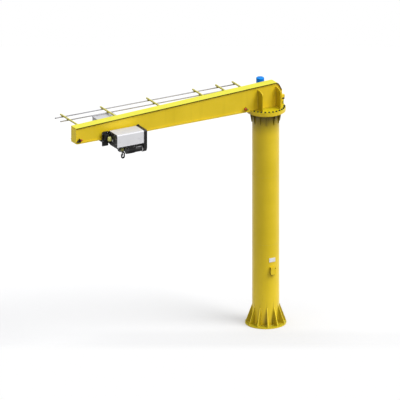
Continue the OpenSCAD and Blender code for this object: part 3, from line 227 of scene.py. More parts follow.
class CraneColours(bpy.types.PropertyGroup):
    """Colours of the finishes, in linear values."""

    yellow: colour_value("Yellow", "Enamel of the column and the girder", (0.78, 0.565, 0.012))
    # Lemon is a painted highlight: a lighter yellow for the top plate, where light falls from above
    lemon: colour_value("Lemon", "Enamel of the highlight-painted top plate", (0.60, 0.572, 0.048))
    black: colour_value("Black", "Enamel of the trolley and the drives", (0.009, 0.009, 0.0095))
    grey: colour_value("Grey", "Powder coat of the hoist cover and the boxes", (0.82, 0.82, 0.85))
    blue: colour_value("Blue", "Enamel of the slewing motor", (0.002, 0.17, 0.66))
    red: colour_value("Red", "Rubber of the buffers", (0.44, 0.052, 0.008))
    olive: colour_value("Olive", "Paint of the rail clamps", (0.24, 0.22, 0.02))
    pale: colour_value("Pale yellow", "Enamel of the travel motor", (0.72, 0.72, 0.22))


def sizes():
    return bpy.context.scene.crane_sizes


def colours():
    return bpy.context.scene.crane_colours


# Finishes


class Wire:
    """A shader socket that Python sums can use."""

    def __init__(self, owner, socket):
        self.owner = owner
        self.socket = socket

    def __add__(self, other):
        return self.owner.sum("ADD", self, other)

    def __radd__(self, other):
        return self.owner.sum("ADD", other, self)

    def __sub__(self, other):
        return self.owner.sum("SUBTRACT", self, other)

    def __rsub__(self, other):
        return self.owner.sum("SUBTRACT", other, self)

    def __mul__(self, other):
        return self.owner.sum("MULTIPLY", self, other)

    def __rmul__(self, other):
        return self.owner.sum("MULTIPLY", other, self)

    def __truediv__(self, other):
        return self.owner.sum("DIVIDE", self, other)

    def __pow__(self, other):
        return self.owner.sum("POWER", self, other)


def shade(colour, share, plus=0.0):
    """A share of a colour, lifted by plus."""
    return tuple(min(1, c * share + plus) for c in colour)


class Tree:
    """The shader tree of a finish or of the sky."""

    def __init__(self, tree):
        self.tree = tree

    def node(self, kind, settings=None, inputs=None, output=0):
        made = self.tree.nodes.new(kind)
        for key, value in (settings or {}).items():
            setattr(made, key, value)
        for key, value in (inputs or {}).items():
            self.feed(made.inputs[key], value)
        return None if output is None else Wire(self, made.outputs[output])

    def feed(self, socket, value):
        if isinstance(value, Wire):
            self.tree.links.new(value.socket, socket)
        elif isinstance(socket.default_value, (int, float)):
            socket.default_value = value
        else:
            value = tuple(value)
            socket.default_value = value if len(value) == len(socket.default_value) else (*value, 1)

    def sum(self, operation, a, b=0):
        return self.node("ShaderNodeMath", {"operation": operation}, {0: a, 1: b})

    def size(self, value):
        return self.sum("ABSOLUTE", value)

    def wave(self, value):
        """Sine of the value, between 0 and 1."""
        return self.sum("SINE", value) * 0.5 + 0.5

    def limit(self, value, low, high):
        """0 where value is below low and 1 above high."""
        return self.node("ShaderNodeMapRange", {"interpolation_type": "SMOOTHSTEP"},
                         {"Value": value, "From Min": low, "From Max": high})

    def part(self, vector, axis):
        return self.node("ShaderNodeSeparateXYZ", None, {0: vector}, "XYZ".index(axis))


class Finish(Tree):
    """One material with its shader tree."""

    def __init__(self, name):
        self.material = bpy.data.materials.new(name)
        self.material.use_nodes = True
        super().__init__(self.material.node_tree)
        self.shader = self.tree.nodes["Principled BSDF"]

    def mix(self, share, a, b):
        return self.node("ShaderNodeMix", {"data_type": "RGBA"}, {0: share, 6: a, 7: b}, 2)

    def place(self, scale=(1, 1, 1), turn=(0, 0, 0)):
        at = self.node("ShaderNodeTexCoord", output=3)
        return self.node("ShaderNodeMapping", None, {"Vector": at, "Scale": scale, "Rotation": turn})

    def noise(self, scale, detail=3, rough=0.5, vector=None):
        return self.node("ShaderNodeTexNoise", None, {"Vector": vector or self.place(), "Scale": scale,
                                                      "Detail": detail, "Roughness": rough})

    def normal(self, axis):
        """How far the surface faces along one of the piece's own axes."""
        return self.part(self.node("ShaderNodeTexCoord", output=1), axis)

    def at(self, axis):
        """Place along one of the piece's own axes."""
        return self.part(self.place(), axis)

    def outward(self):
        """How far the surface faces away from the column's axis."""
        x, y = self.at("X"), self.at("Y")
        return self.size(self.normal("X") * x + self.normal("Y") * y) / ((x * x + y * y) ** 0.5)

    def bump(self, height, depth, after=None):
        inputs = {"Height": height, "Strength": 1.0, "Distance": depth}
        if after is not None:
            inputs["Normal"] = after
        return self.node("ShaderNodeBump", None, inputs)

    def set(self, **values):
        for key, value in values.items():
            self.feed(self.shader.inputs[key.replace("_", " ")], value)
        return self.material


def enamel(name, colour, top=None, rough=0.34, soil=0.22, chip=0.74, edge=None, shine=0.35, shaded_side=None,
           shade_share=0.5, head_shade_from=None, gusset_shadows=False):
    """Brushed and baked shop enamel with orange peel, run-off streaks, dust and a few chips.

    top is the colour of up-facing surfaces: dust on most finishes, a painted highlight or painted
    shade on some yellow parts. shaded_side says which sides of ribs get painted shade: those that
    face along the girder, or those that don't face away from the column, and shade_share is their
    share of the colour. head_shade_from is the height where painted shade under the column head
    begins. gusset_shadows paints the shadows that the base gussets cast on the column. edge is the
    colour of painted shade on the side edges of a plate.
    """
    f = Finish(name)
    broad = f.noise(0.7, 4, 0.6)
    patch = f.noise(5.5, 5, 0.6)
    streaks = f.noise(7.0, 4, 0.6, f.place((1, 1, 0.09)))
    peel = f.noise(230, 2)
    low = shade(colour, 0.72 if soil > 0.3 else 0.95)
    base = f.mix(f.limit(broad, 0.3, 0.7), low, shade(colour, 1.07, 0.01))
    base = f.mix(f.limit(streaks, 0.52, 0.78) * soil, base, shade(colour, 0.5, 0.004))
    base = f.mix(f.limit(patch, 0.56, 0.8) * soil * 0.7, base, shade(colour, 0.65, 0.01))
    # Up-facing surfaces take the top colour: dust, and on some yellow parts a painted highlight or
    # painted shade
    if top:
        top_dust_and_light = f.mix(f.limit(patch, 0.35, 0.75) * 0.35, top, shade(top, 0.86))
        base = f.mix(f.limit(f.normal("Z"), 0.25, 0.9), base, top_dust_and_light)
    # Painted shade on the sides of ribs and gussets
    if shaded_side:
        open_side = f.outward() if shaded_side == "round" else 1 - f.size(f.normal("X"))
        base = f.mix(f.limit(open_side, 0.25, 0.6), shade(colour, shade_share), base)
    # Painted shade under the column head, darker upwards and broken by the streaks
    if head_shade_from:
        run = f.limit(f.at("Z") + (streaks - 0.5) * 0.15, head_shade_from, head_shade_from + 0.55)
        base = f.mix(run * 0.9, base, shade(colour, 0.16))
    # Painted shadows of the base gussets on the column, darker low down and on one side of each gusset
    if gusset_shadows:
        around = f.sum("ARCTAN2", f.at("Y"), f.at("X")) / GUSSET_STEP + (1 - GUSSET_PHASE / GUSSET_STEP)
        corner = f.sum("FRACT", around) + (patch - 0.5) * 0.25
        gusset_shadow_mask = f.limit(corner - f.at("Z") * 1.25, 0.1, 0.78)
        base = f.mix(gusset_shadow_mask * 0.88, base, shade(colour, 0.2))
    # Painted shade on the side edges of a plate, where it overhangs
    if edge:
        base = f.mix(f.limit(f.size(f.normal("Y")), 0.8, 0.95), base, edge)
    chips = f.limit(f.noise(46, 4, 0.7), chip, chip + 0.02)
    base = f.mix(chips * 0.8, base, (0.16, 0.12, 0.09))
    gloss = rough + (patch - 0.5) * 0.16 + f.limit(streaks, 0.5, 0.8) * 0.12 + chips * 0.3
    normal = f.bump(peel, 0.00035, f.bump(patch, 0.0016))
    return f.set(Base_Color=base, Roughness=gloss, Normal=f.bump(1 - chips, 0.0004, normal),
                 Specular_IOR_Level=shine, Coat_Weight=shine * 0.17, Coat_Roughness=0.18)


def stop_enamel(name, foot, column_end, tip):
    """Enamel of the end stops: yellow feet, olive plates at the column end and dark ones at the tip."""
    f = Finish(name)
    patch = f.noise(9, 5, 0.6)
    peel = f.noise(230, 2)
    foot_z = LEDGE_Z + 0.028
    base = f.mix(f.limit(f.at("X"), 2.0, 2.1), column_end, tip)
    base = f.mix(f.limit(f.at("Z"), foot_z - 0.001, foot_z + 0.001), foot, base)
    base = f.mix(f.limit(patch, 0.45, 0.75) * 0.3, base, f.mix(0.5, base, (0.05, 0.04, 0.02)))
    return f.set(Base_Color=base, Roughness=0.42 + (patch - 0.5) * 0.2, Specular_IOR_Level=0.25,
                 Normal=f.bump(peel, 0.0004, f.bump(patch, 0.0012)))


def powder(name, colour, ends=1.0):
    """Fine-grained powder coat with light handling marks, up-facing faces darker with dust and painted
    shade; ends is the share of the colour on the end faces, painted shade.
    """
    f = Finish(name)
    cloud = f.noise(3.2, 4, 0.6)
    grain = f.noise(420, 2)
    marks = f.noise(9, 6, 0.75, f.place((0.35, 1, 1), (0, 0.12, 0)))
    # Up-facing faces darker: dust and painted shade
    dust_and_top_shade = f.limit(f.normal("Z"), 0.3, 1.0)
    base = f.mix(f.limit(cloud, 0.3, 0.72), shade(colour, 0.93), colour)
    base = f.mix(f.limit(marks, 0.6, 0.78) * 0.22, base, shade(colour, 0.72))
    base = f.mix(dust_and_top_shade, base, shade(colour, 0.59))
    # Painted shade on the end faces
    if ends < 1:
        base = f.mix(f.limit(f.size(f.normal("X")), 0.8, 0.95), base, shade(colour, ends))
    return f.set(Base_Color=base, Roughness=0.42 + (cloud - 0.5) * 0.14, Coat_Weight=0.1,
                 Normal=f.bump(grain, 0.0003, f.bump(cloud, 0.0008)))


def machined(name, colour, rough=0.32, oil=0.5):
    """Turned and ground steel under a film of old oil."""
    f = Finish(name)
    lathe = f.noise(90, 3, 0.6, f.place((1, 1, 9)))
    film = f.noise(7, 5, 0.65)
    base = f.mix(f.limit(film, 0.42, 0.7) * oil, colour, shade(colour, 0.42))
    rust = f.limit(f.noise(24, 5, 0.75), 0.64, 0.74) * 0.3
    base = f.mix(rust, base, (0.2, 0.085, 0.03))
    return f.set(Base_Color=base, Metallic=1.0 - rust * 1.4, Roughness=rough + (film - 0.4) * 0.3,
                 Normal=f.bump(lathe, 0.00025, f.bump(film, 0.0006)))


def wire_rope(name, turns, lay):
    """Greased wire rope whose strands follow the piece's own UV map."""
    f = Finish(name)
    uv = f.node("ShaderNodeTexCoord", output=2)
    across, along = f.part(uv, "X"), f.part(uv, "Y")
    strand = f.wave(across * (6 * 2 * math.pi) + along * (turns * 2 * math.pi))
    wire = f.wave(across * (36 * 2 * math.pi) - along * (lay * 2 * math.pi))
    grease = f.noise(30, 4, 0.6)
    base = f.mix(strand ** 0.6, (0.035, 0.032, 0.03), (0.30, 0.30, 0.31))
    base = f.mix(f.limit(grease, 0.45, 0.7) * 0.6, base, (0.05, 0.042, 0.03))
    return f.set(Base_Color=base, Metallic=0.75, Roughness=0.38 + grease * 0.2,
                 Normal=f.bump(wire, 0.0004, f.bump(strand, 0.0022)))


def ridged_rope(name):
    """Wire rope wound on the drum: strands run round the drum axis, which lies along X."""
    f = Finish(name)
    around = f.sum("ARCTAN2", f.at("Z") - DRUM.z, f.at("Y") - DRUM.y)
    strand = f.wave(around * 150 + f.at("X") * 1400)
    grease = f.noise(24, 4, 0.6)
    base = f.mix(strand ** 0.6, (0.04, 0.037, 0.033), (0.32, 0.32, 0.33))
    base = f.mix(f.limit(grease, 0.45, 0.7) * 0.6, base, (0.06, 0.05, 0.035))
    return f.set(Base_Color=base, Metallic=0.75, Roughness=0.4 + grease * 0.15,
                 Normal=f.bump(strand, 0.0015))


def rubber(name, colour):
    """Moulded rubber, scuffed and dusty."""
    f = Finish(name)
    cloud = f.noise(26, 5, 0.6)
    pores = f.noise(340, 2)
    base = f.mix(f.limit(cloud, 0.4, 0.72) * 0.5, colour, shade(colour, 0.55, 0.01))
    base = f.mix(f.limit(f.normal("Z"), 0.3, 1) * 0.12, base, (0.5, 0.4, 0.36))
    return f.set(Base_Color=base, Roughness=0.62 + (cloud - 0.5) * 0.2, Specular_IOR_Level=0.15,
                 Normal=f.bump(pores, 0.0004))


def drawn_aluminium(name, colour):
    """Extruded aluminium rail with drawing lines along its length."""
    f = Finish(name)
    lines = f.noise(160, 3, 0.6, f.place((0.02, 1, 1)))
    cloud = f.noise(4, 4, 0.6)
    base = f.mix(f.limit(lines, 0.35, 0.7), shade(colour, 0.86), colour)
    return f.set(Base_Color=base, Metallic=0.6, Roughness=0.36 + (cloud - 0.5) * 0.2,
                 Normal=f.bump(lines, 0.0003))


def weld_finish(name, colour):
    """Painted weld bead with its ripples."""
    f = Finish(name)
    ripple = f.node("ShaderNodeTexWave", {"wave_type": "BANDS", "bands_direction": "DIAGONAL"},
                    {"Vector": f.place(), "Scale": 60, "Distortion": 1.5}, 1)
    cloud = f.noise(30, 4, 0.6)
    base = f.mix(f.limit(cloud, 0.4, 0.7) * 0.35, colour, shade(colour, 0.7))
    return f.set(Base_Color=base, Roughness=0.4 + (cloud - 0.5) * 0.2, Coat_Weight=0.2,
                 Normal=f.bump(ripple, 0.002))


def floor_finish(name, tone, glow, bounce, away, side):
    """Pale studio floor that keeps the shadow; it throws little light back up at the crane.

    away and side are the directions from the camera and to its right. Near the crane the floor
    glows a little less, and past it on the camera's side it glows white, like the photo's ground.
    """
    f = Finish(name)
    x, y = f.at("X"), f.at("Y")
    behind = x * away.x + y * away.y
    beside = x * side.x + y * side.y
    before = -1 * behind
    seen = f.node("ShaderNodeLightPath") + f.node("ShaderNodeLightPath", output=3)
    # Uneven glow: brighter behind and to the right of the crane and dimmer in front of its left side,
    # painted light and painted shade on the floor
    lift = f.limit(behind, 0.6, 3.4) * 0.42 + f.limit(beside, 0.6, 2.6) * 0.24 + 0.4
    near_dip = f.limit(before, 0.3, 0.9) * f.limit(beside, -5.4, -2.6)
    lift = lift - near_dip * 0.36 + (f.noise(1.2, 3) - 0.5) * 0.03
    ends = f.limit(before, 1.35, 1.9)
    near, far = ((at - 0.002, at, at + 0.01) for at in (glow - 0.06, glow + 0.09))
    base = f.mix(ends, f.mix(seen, (bounce,) * 3, (tone,) * 3), (0.002,) * 3)
    glows = f.mix(ends, f.mix(lift, near, far), (1, 1, 1))
    return f.set(Base_Color=base, Roughness=0.9, Specular_IOR_Level=0.0, Emission_Strength=1.0,
                 Emission_Color=f.mix(seen, (0, 0, 0), glows))


# Modelling


def clear():
    if bpy.context.object and bpy.context.object.mode != "OBJECT":
        bpy.ops.object.mode_set(mode="OBJECT")
    bpy.ops.object.select_all(action="DESELECT")


def choose(piece):
    clear()
    piece.select_set(True)
    bpy.context.view_layer.objects.active = piece


def applied():
    """The new primitive, with its place and turn taken into its mesh."""
    bpy.ops.object.transform_apply(location=True, rotation=True, scale=True)
    return bpy.context.object


def turned(axis):
    """Euler angles that lay the Z axis of a primitive along the axis."""
    return {"X": (0, math.pi / 2, 0), "Y": (-math.pi / 2, 0, 0), "Z": (0, 0, 0)}[axis]


def rod(radius, length, at, axis="Z", sides=32):
    clear()
    bpy.ops.mesh.primitive_cylinder_add(vertices=sides, radius=radius, depth=length, location=at,
                                        rotation=turned(axis))
    return applied()


def brick(low, high):
    low, high = Vector(low), Vector(high)
    clear()
    bpy.ops.mesh.primitive_cube_add(size=1, location=(low + high) / 2)
    bpy.context.object.scale = high - low
    return applied()


def ring(radius, thick, at, axis="Z", steps=96, sides=10):
    clear()
    bpy.ops.mesh.primitive_torus_add(major_radius=radius, minor_radius=thick, major_segments=steps,
                                     minor_segments=sides, location=at, rotation=turned(axis))
    return applied()


def edit(piece, select, action):
    """Select faces by a test and run edit mode operators on them."""
    choose(piece)
    bpy.ops.object.mode_set(mode="EDIT")
    bpy.ops.mesh.select_mode(type="FACE")
    mesh = bmesh.from_edit_mesh(piece.data)
    for item in (*mesh.faces, *mesh.edges):
        item.select_set(False)
    for face in mesh.faces:
        if select(face):
            face.select_set(True)
    bmesh.update_edit_mesh(piece.data)
    action()
    bpy.ops.object.mode_set(mode="OBJECT")
    return piece


def facing(axis, sign=1):
    index = "XYZ".index(axis)
    return lambda face: face.normal[index] * sign > 0.9


def raise_face(piece, axis, sign, inset, height):
    """Inset the faces that look along the axis and move them out by height."""
    move = [0, 0, 0]
    move["XYZ".index(axis)] = sign * height

    def act():
        bpy.ops.mesh.inset(thickness=inset, depth=0)
        bpy.ops.mesh.extrude_region_move(TRANSFORM_OT_translate={"value": tuple(move)})

    return edit(piece, facing(axis, sign), act)


def draw_out(piece, steps):
    """Draw the top face of an upright piece out: each step is its shift along X and Z and its share."""
    for dx, dz, share in steps:
        top = max(v.co.z for v in piece.data.vertices)
        middle = [v.co for v in piece.data.vertices if v.co.z > top - 0.00001]
        middle = sum(middle, Vector()) / len(middle) + Vector((dx, 0, dz))

        def act():
            bpy.ops.mesh.extrude_region_move(TRANSFORM_OT_translate={"value": (dx, 0, dz)})
            bpy.ops.transform.resize(value=(share, share, 1), center_override=middle)

        edit(piece, lambda face: face.calc_center_median().z > top - 0.00001, act)


def soften(piece, width, segments=2, angle=35):
    """Bevel the sharp edges with a modifier and apply it."""
    choose(piece)
    bevel = piece.modifiers.new("soften", "BEVEL")
    bevel.width = width
    bevel.segments = segments
    bevel.limit_method = "ANGLE"
    bevel.angle_limit = math.radians(angle)
    bpy.ops.object.modifier_apply(modifier=bevel.name)
    return piece


def faced(piece, axis, sign, inset, height, edge, segments=2):
    """Raise the faces that look along the axis and soften the edges."""
    return soften(raise_face(piece, axis, sign, inset, height), edge, segments)


def copies(piece, places):
    """Copies of a piece modelled at the origin; places are points, or (point, angle about Z)."""
    made = []
    for place in places:
        point, angle = place if len(place) == 2 else (place, 0)
        other = piece.copy()
        other.data = piece.data.copy()
        bpy.context.collection.objects.link(other)
        other.data.transform(Matrix.Translation(Vector(point)) @ Matrix.Rotation(angle, 4, "Z"))
        made.append(other)
    bpy.data.objects.remove(piece)
    return made


def join(pieces):
    clear()
    for piece in pieces:
        piece.select_set(True)
    bpy.context.view_layer.objects.active = pieces[0]
    bpy.ops.object.join()
    return pieces[0]


def dress(piece, finish):
    """Shading, finish and material slot of a piece."""
    choose(piece)
    bpy.ops.object.shade_smooth_by_angle(angle=math.radians(38))
    piece.data.materials.clear()
    piece.data.materials.append(MADE[finish])


def fit(name, made, body, finish):
    """Last step of a piece, or of a list that is joined to one, that rides on one body."""
    piece = join(made) if isinstance(made, list) else made
    piece.name = name
    dress(piece, finish)
    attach(piece, body)


def hex_head(radius, height, axis):
    """One hexagon head with a washer, modelled at the origin, standing along the axis."""
    washer = rod(radius * 1.35, height * 0.22, (0, 0, height * 0.11), sides=24)
    washer = soften(washer, height * 0.05, 1)
    head = faced(rod(radius, height, (0, 0, height * 0.6), sides=6), "Z", 1, radius * 0.12, height * 0.06,
                 radius * 0.08)
    both = join([washer, head])
    angle, about = {"X": (math.pi / 2, "Y"), "-X": (-math.pi / 2, "Y"), "Y": (-math.pi / 2, "X"),
                    "-Y": (math.pi / 2, "X"), "Z": (0, "Z")}[axis]
    both.data.transform(Matrix.Rotation(angle, 4, about))
    return both


def bolts(name, places, size, axis, body, finish="black"):
    fit(name, copies(hex_head(*size, axis), places), body, finish)


def bead(length, radius, at, axis):
    """Straight fillet bead, drawn as a thin rod with tapered ends."""
    return soften(rod(radius, length, at, axis, 8), radius * 0.45, 1, 60)


def slanted(piece, at, angle):
    """Turn a piece modelled at the origin about Y by the angle and put it in its place."""
    piece.data.transform(Matrix.Translation(Vector(at)) @ Matrix.Rotation(angle, 4, "Y"))
    return piece


def circle_places(centre, radius, count, axis, start=0.0):
    places = []
    for i in range(count):
        a = start + 2 * math.pi * i / count
        u, v = radius * math.cos(a), radius * math.sin(a)
        step = {"X": (0, u, v), "Y": (u, 0, v), "Z": (u, v, 0)}[axis]
        places.append(tuple(c + s for c, s in zip(centre, step)))
    return places


# Operators


class CraneStep(bpy.types.Operator):
    """Base of the building steps."""

    bl_options = {"REGISTER", "UNDO"}

    def execute(self, context):
        self.build()
        return {"FINISHED"}


class CRANE_OT_finishes(CraneStep):
    """Make the finishes and put them on the CAD nodes"""

    bl_idname = "crane.finishes"
    bl_label = "Finishes"

    def build(self):
        c = colours()
        MADE.update(
            yellow=enamel("yellow_enamel", c.yellow, soil=0.12),
            # Column: painted shade under the head and painted shadows of the base gussets
            column=enamel("column_enamel", c.yellow, soil=0.12, head_shade_from=HEAD_SHADE_Z, gusset_shadows=True),
            # Gussets: a lighter yellow for their lit edges, painted light, with painted shade on their
            # faces and under the head
            gussets=enamel("gusset_enamel", (0.94, 0.71, 0.025), soil=0.2, shaded_side="round", shade_share=0.48,
                           head_shade_from=HEAD_SHADE_Z),
            # End plates: a lighter copy of the yellow, painted light
            tip=enamel("end_enamel", (0.9, 0.68, 0.02), soil=0.1, shine=0.14),
            # Top seams: dark beads for the shadow under the top plate, painted shade
            seam=enamel("seam_shadow_paint", (0.09, 0.06, 0.0015), rough=0.75, shine=0.0),
            # Ledges: darker up-facing faces, painted shade
            ledge=enamel("ledge_enamel", c.yellow, (0.46, 0.36, 0.012), soil=0.2, shine=0.2),
            # Supply box: darker top and end faces, painted shade
            box=enamel("box_enamel", c.yellow, (0.5, 0.37, 0.008), shaded_side="along", shade_share=0.36),
            # Ribs: painted shade on their faces along the girder
            ribs=enamel("rib_enamel", c.yellow, shaded_side="along", shade_share=0.58, shine=0.25),
            # Turntable: darker top, painted shade under the girder
            plate=enamel("shaded_top_yellow_enamel", (0.78, 0.58, 0.008), (0.55, 0.465, 0.008)),
            # Base plate: darker colour and top, painted shade near the floor
            foot=enamel("floor_shaded_yellow_enamel", (0.66, 0.49, 0.012), (0.44, 0.375, 0.018), soil=0.3,
                        shine=0.2),
            # Top plate: lighter top, painted highlight, and darker side edges, painted shade
            lemon=enamel("top_highlight_enamel", c.yellow, c.lemon, edge=(0.045, 0.03, 0.0005), shine=0.04),
            black=enamel("black_enamel", c.black, (0.02, 0.02, 0.021), rough=0.45, soil=0.35, chip=0.76,
                         shine=0.18),
            stops=stop_enamel("stop_enamel", c.yellow, c.olive, c.black),
            grey=powder("grey_powder_coat", c.grey),
            # Electrics box: darker grey with darker end faces, painted shade
            cabinet=powder("shaded_cabinet_coat", shade(c.grey, 0.89), ends=0.61),
            blue=enamel("blue_enamel", c.blue, (0.006, 0.23, 0.72), rough=0.4, shine=0.05),
            arm=enamel("arm_paint", (0.42, 0.37, 0.03), (0.5, 0.46, 0.08), rough=0.45),
            olive=enamel("olive_paint", c.olive, (0.3, 0.26, 0.05), rough=0.45),
            pale=enamel("pale_yellow_enamel", c.pale, (0.8, 0.8, 0.33), rough=0.36),
            steel=machined("machined_steel", (0.52, 0.52, 0.53)),
            cast=machined("drum_steel", (0.33, 0.33, 0.34), rough=0.45, oil=0.7),
            red=rubber("red_rubber", c.red),
            sealing=rubber("black_seal", (0.014, 0.014, 0.015)),
            hook=enamel("hook_enamel", (0.012, 0.012, 0.012), (0.02, 0.02, 0.02), rough=0.5, soil=0.3,
                        chip=0.7, shine=0.15),
            silver=machined("turned_aluminium", (0.7, 0.7, 0.71), rough=0.3, oil=0.25),
            rail=drawn_aluminium("rail_aluminium", (0.62, 0.62, 0.65)),
            weld=weld_finish("painted_weld", shade(c.yellow, 0.93)),
            rope=wire_rope("wire_rope", turns=9, lay=40),
            wound=ridged_rope("wound_rope"),
        )
        by_slot = {"yellow_paint": "yellow", "black_paint": "black", "grey_paint": "grey",
                   "bare_steel": "steel", "blue_paint": "blue", "wire_rope": "cast",
                   "rail_aluminium": "rail", "clamp_paint": "olive", "red_rubber": "red",
                   "pale_yellow_paint": "pale"}
        slots = {s["node"]: s["material_slot"] for s in frame["record"]["subparts"]}
        own = {"rope_drum": "cast", "drum_rope": "wound", "girder_top": "lemon", "end_stops": "stops",
               "cross_arms": "arm", "hook": "hook", "latch": "hook", "side_ribs": "ribs",
               "turntable": "plate", "base_plate": "foot", "column_tube": "column",
               "base_gussets": "gussets", "head_gussets": "gussets", "motor_bell": "silver",
               "end_plates": "tip", "girder_bottom": "ledge", "supply_box": "box",
               "electrics_box": "cabinet"}
        for name, node in NODES.items():
            node.data.materials.clear()
            node.data.materials.append(MADE[own.get(name, by_slot[slots[name]])])


class CRANE_OT_girder(CraneStep):
    """Weld beads along the girder, the ribs and the cross arms"""

    bl_idname = "crane.girder"
    bl_label = "Girder welds"

    def build(self):
        r = sizes().weld
        rise = r * BEAD_RISE
        low, high = BOX["girder_webs"]
        beads = []
        for side in (-1, 1):
            y = side * (WEB_Y + rise)
            beads.append(bead(high.x - low.x - 0.01, r, ((low.x + high.x) / 2, y, LEDGE_Z + rise), "X"))
            for x in [place + face for place in RIB_X for face in RIB_FACES]:
                beads.append(bead(RIB_FOOT, r, (x, side * (WEB_Y + RIB_OUT), TURN_TOP + rise), "Y"))
                beads.append(bead(RIB_BEAD, r, (x, y, TURN_TOP + RIB_UP), "Z"))
        # Dark beads along the top plate's seams stand for the shadow under its overhang: painted shade
        tip, rear = TOP_SEAM
        fall = rear - tip
        seams = []
        for side in (-1, 1):
            seam = bead(fall.length, r * 1.2, (0, 0, 0), "X")
            at = (tip + rear) / 2 + Vector((0, side * (WEB_Y + rise), -rise))
            seams.append(slanted(seam, at, math.atan2(fall.z, -fall.x)))
        fit("top_seams", seams, "arm", "seam")
        low, high = BOX["cross_arms"]
        for x in ARM_X:
            for z in (high.z - 0.001, low.z + 0.001):
                beads.append(bead(0.034, r * 0.7, (x, -WEB_Y - rise, z), "X"))
        fit("girder_welds", beads, "arm", "weld")
        low, high = BOX["rails"]
        half = (high.z - low.z) / 2 + 0.0006
        cap = soften(brick((-0.003, -half, -half), (0.003, half, half)), 0.0012)
        raise_face(cap, "X", 1, inset=0.004, height=0.001)
        caps = copies(cap, [(x, y, (low.z + high.z) / 2) for x in (low.x, high.x) for y in RAIL_Y])
        fit("rail_end_caps", caps, "arm", "sealing")


class CRANE_OT_column(CraneStep):
    """Weld beads of the column, rivets of the blank plate and small pieces of the supply box"""

    bl_idname = "crane.column"
    bl_label = "Column trim"

    def build(self):
        r = sizes().weld
        rise = r * BEAD_RISE
        beads = [ring(COLUMN_R - 0.001, r, (0, 0, z)) for z in (BASE_TOP + rise, HEAD_Z - rise)]
        beads += [ring(COLUMN_R - 0.0015, 0.0035, (0, 0, z)) for z in PIPE_SEAMS]
        around = [GUSSET_PHASE + GUSSET_STEP * i for i in range(GUSSETS)]
        reach = COLUMN_R + r * 0.2
        for side in (-GUSSET_HALF, GUSSET_HALF):
            turns = [a + side / COLUMN_R for a in around]
            places = [(math.cos(a) * reach, math.sin(a) * reach, BASE_TOP + GUSSET_UP) for a in turns]
            beads += copies(bead(GUSSET_BEAD, r, (0, 0, 0), "Z"), places)
            foot = bead(FOOT_BEAD, r, (COLUMN_R + FOOT_OUT, side, BASE_TOP + rise), "X")
            beads += copies(foot, [((0, 0, 0), a) for a in around])
        fit("column_welds", beads, "column", "weld")
        rivet = soften(rod(0.0035, 0.0025, (0, 0, 0), "Y", 16), 0.0012)
        low, high = BOX["blank_plate"]
        rows = (low.z + 0.011, high.z - 0.011)
        places = [(x, high.y + 0.0002, z) for x in (-0.064, 0.064) for z in rows]
        fit("plate_rivets", copies(rivet, places), "column", "steel")
        low, high = BOX["supply_box"]
        gland = soften(rod(0.013, 0.012, (0, high.y - 0.035, low.z - 0.004), "Z", 6), 0.001)
        nut = rod(0.010, 0.014, (0, high.y - 0.035, low.z - 0.014), "Z", 20)
        nut = faced(nut, "Z", -1, inset=0.0022, height=-0.004, edge=0.0015)
        glands = copies(join([gland, nut]), [(-0.03, 0, 0), (0.03, 0, 0)])
        fit("box_glands", glands, "column", "sealing")


class CRANE_OT_bearing(CraneStep):
    """Seals, grease nipples and bolt caps of the slewing bearing"""

    bl_idname = "crane.bearing"
    bl_label = "Bearing trim"

    def build(self):
        low = BOX["outer_ring"][0].z
        lip = ring(SEAL_R, 0.0028, (0, 0, low - 0.0015), "Z", 128)
        fit("bearing_seal", lip, "arm", "sealing")
        nipple = rod(0.006, 0.008, (0, 0, 0), "X", 6)
        nipple = faced(nipple, "X", 1, inset=0.0025, height=0.006, edge=0.0008)
        around = circle_places((0, 0, low + 0.03), NIPPLE_R, NIPPLES, "Z", NIPPLE_PHASE)
        places = [(at, math.atan2(at[1], at[0])) for at in around]
        fit("grease_nipples", copies(nipple, places), "arm", "steel")
        cap = rod(RING_CAP_R, RING_CAP_HEIGHT, (0, 0, RING_CAP_HEIGHT / 2), "Z", 20)
        draw_out(cap, ((0, 0.004, 0.86), (0, 0.002, 0.6)))
        around = circle_places((0, 0, TURN_TOP), RING_BOLT_R, RING_BOLTS, "Z")
        free = [at for at in around if abs(at[1]) > TOP_Y]
        fit("ring_bolt_caps", copies(soften(cap, 0.001, 1), free), "arm", "black")


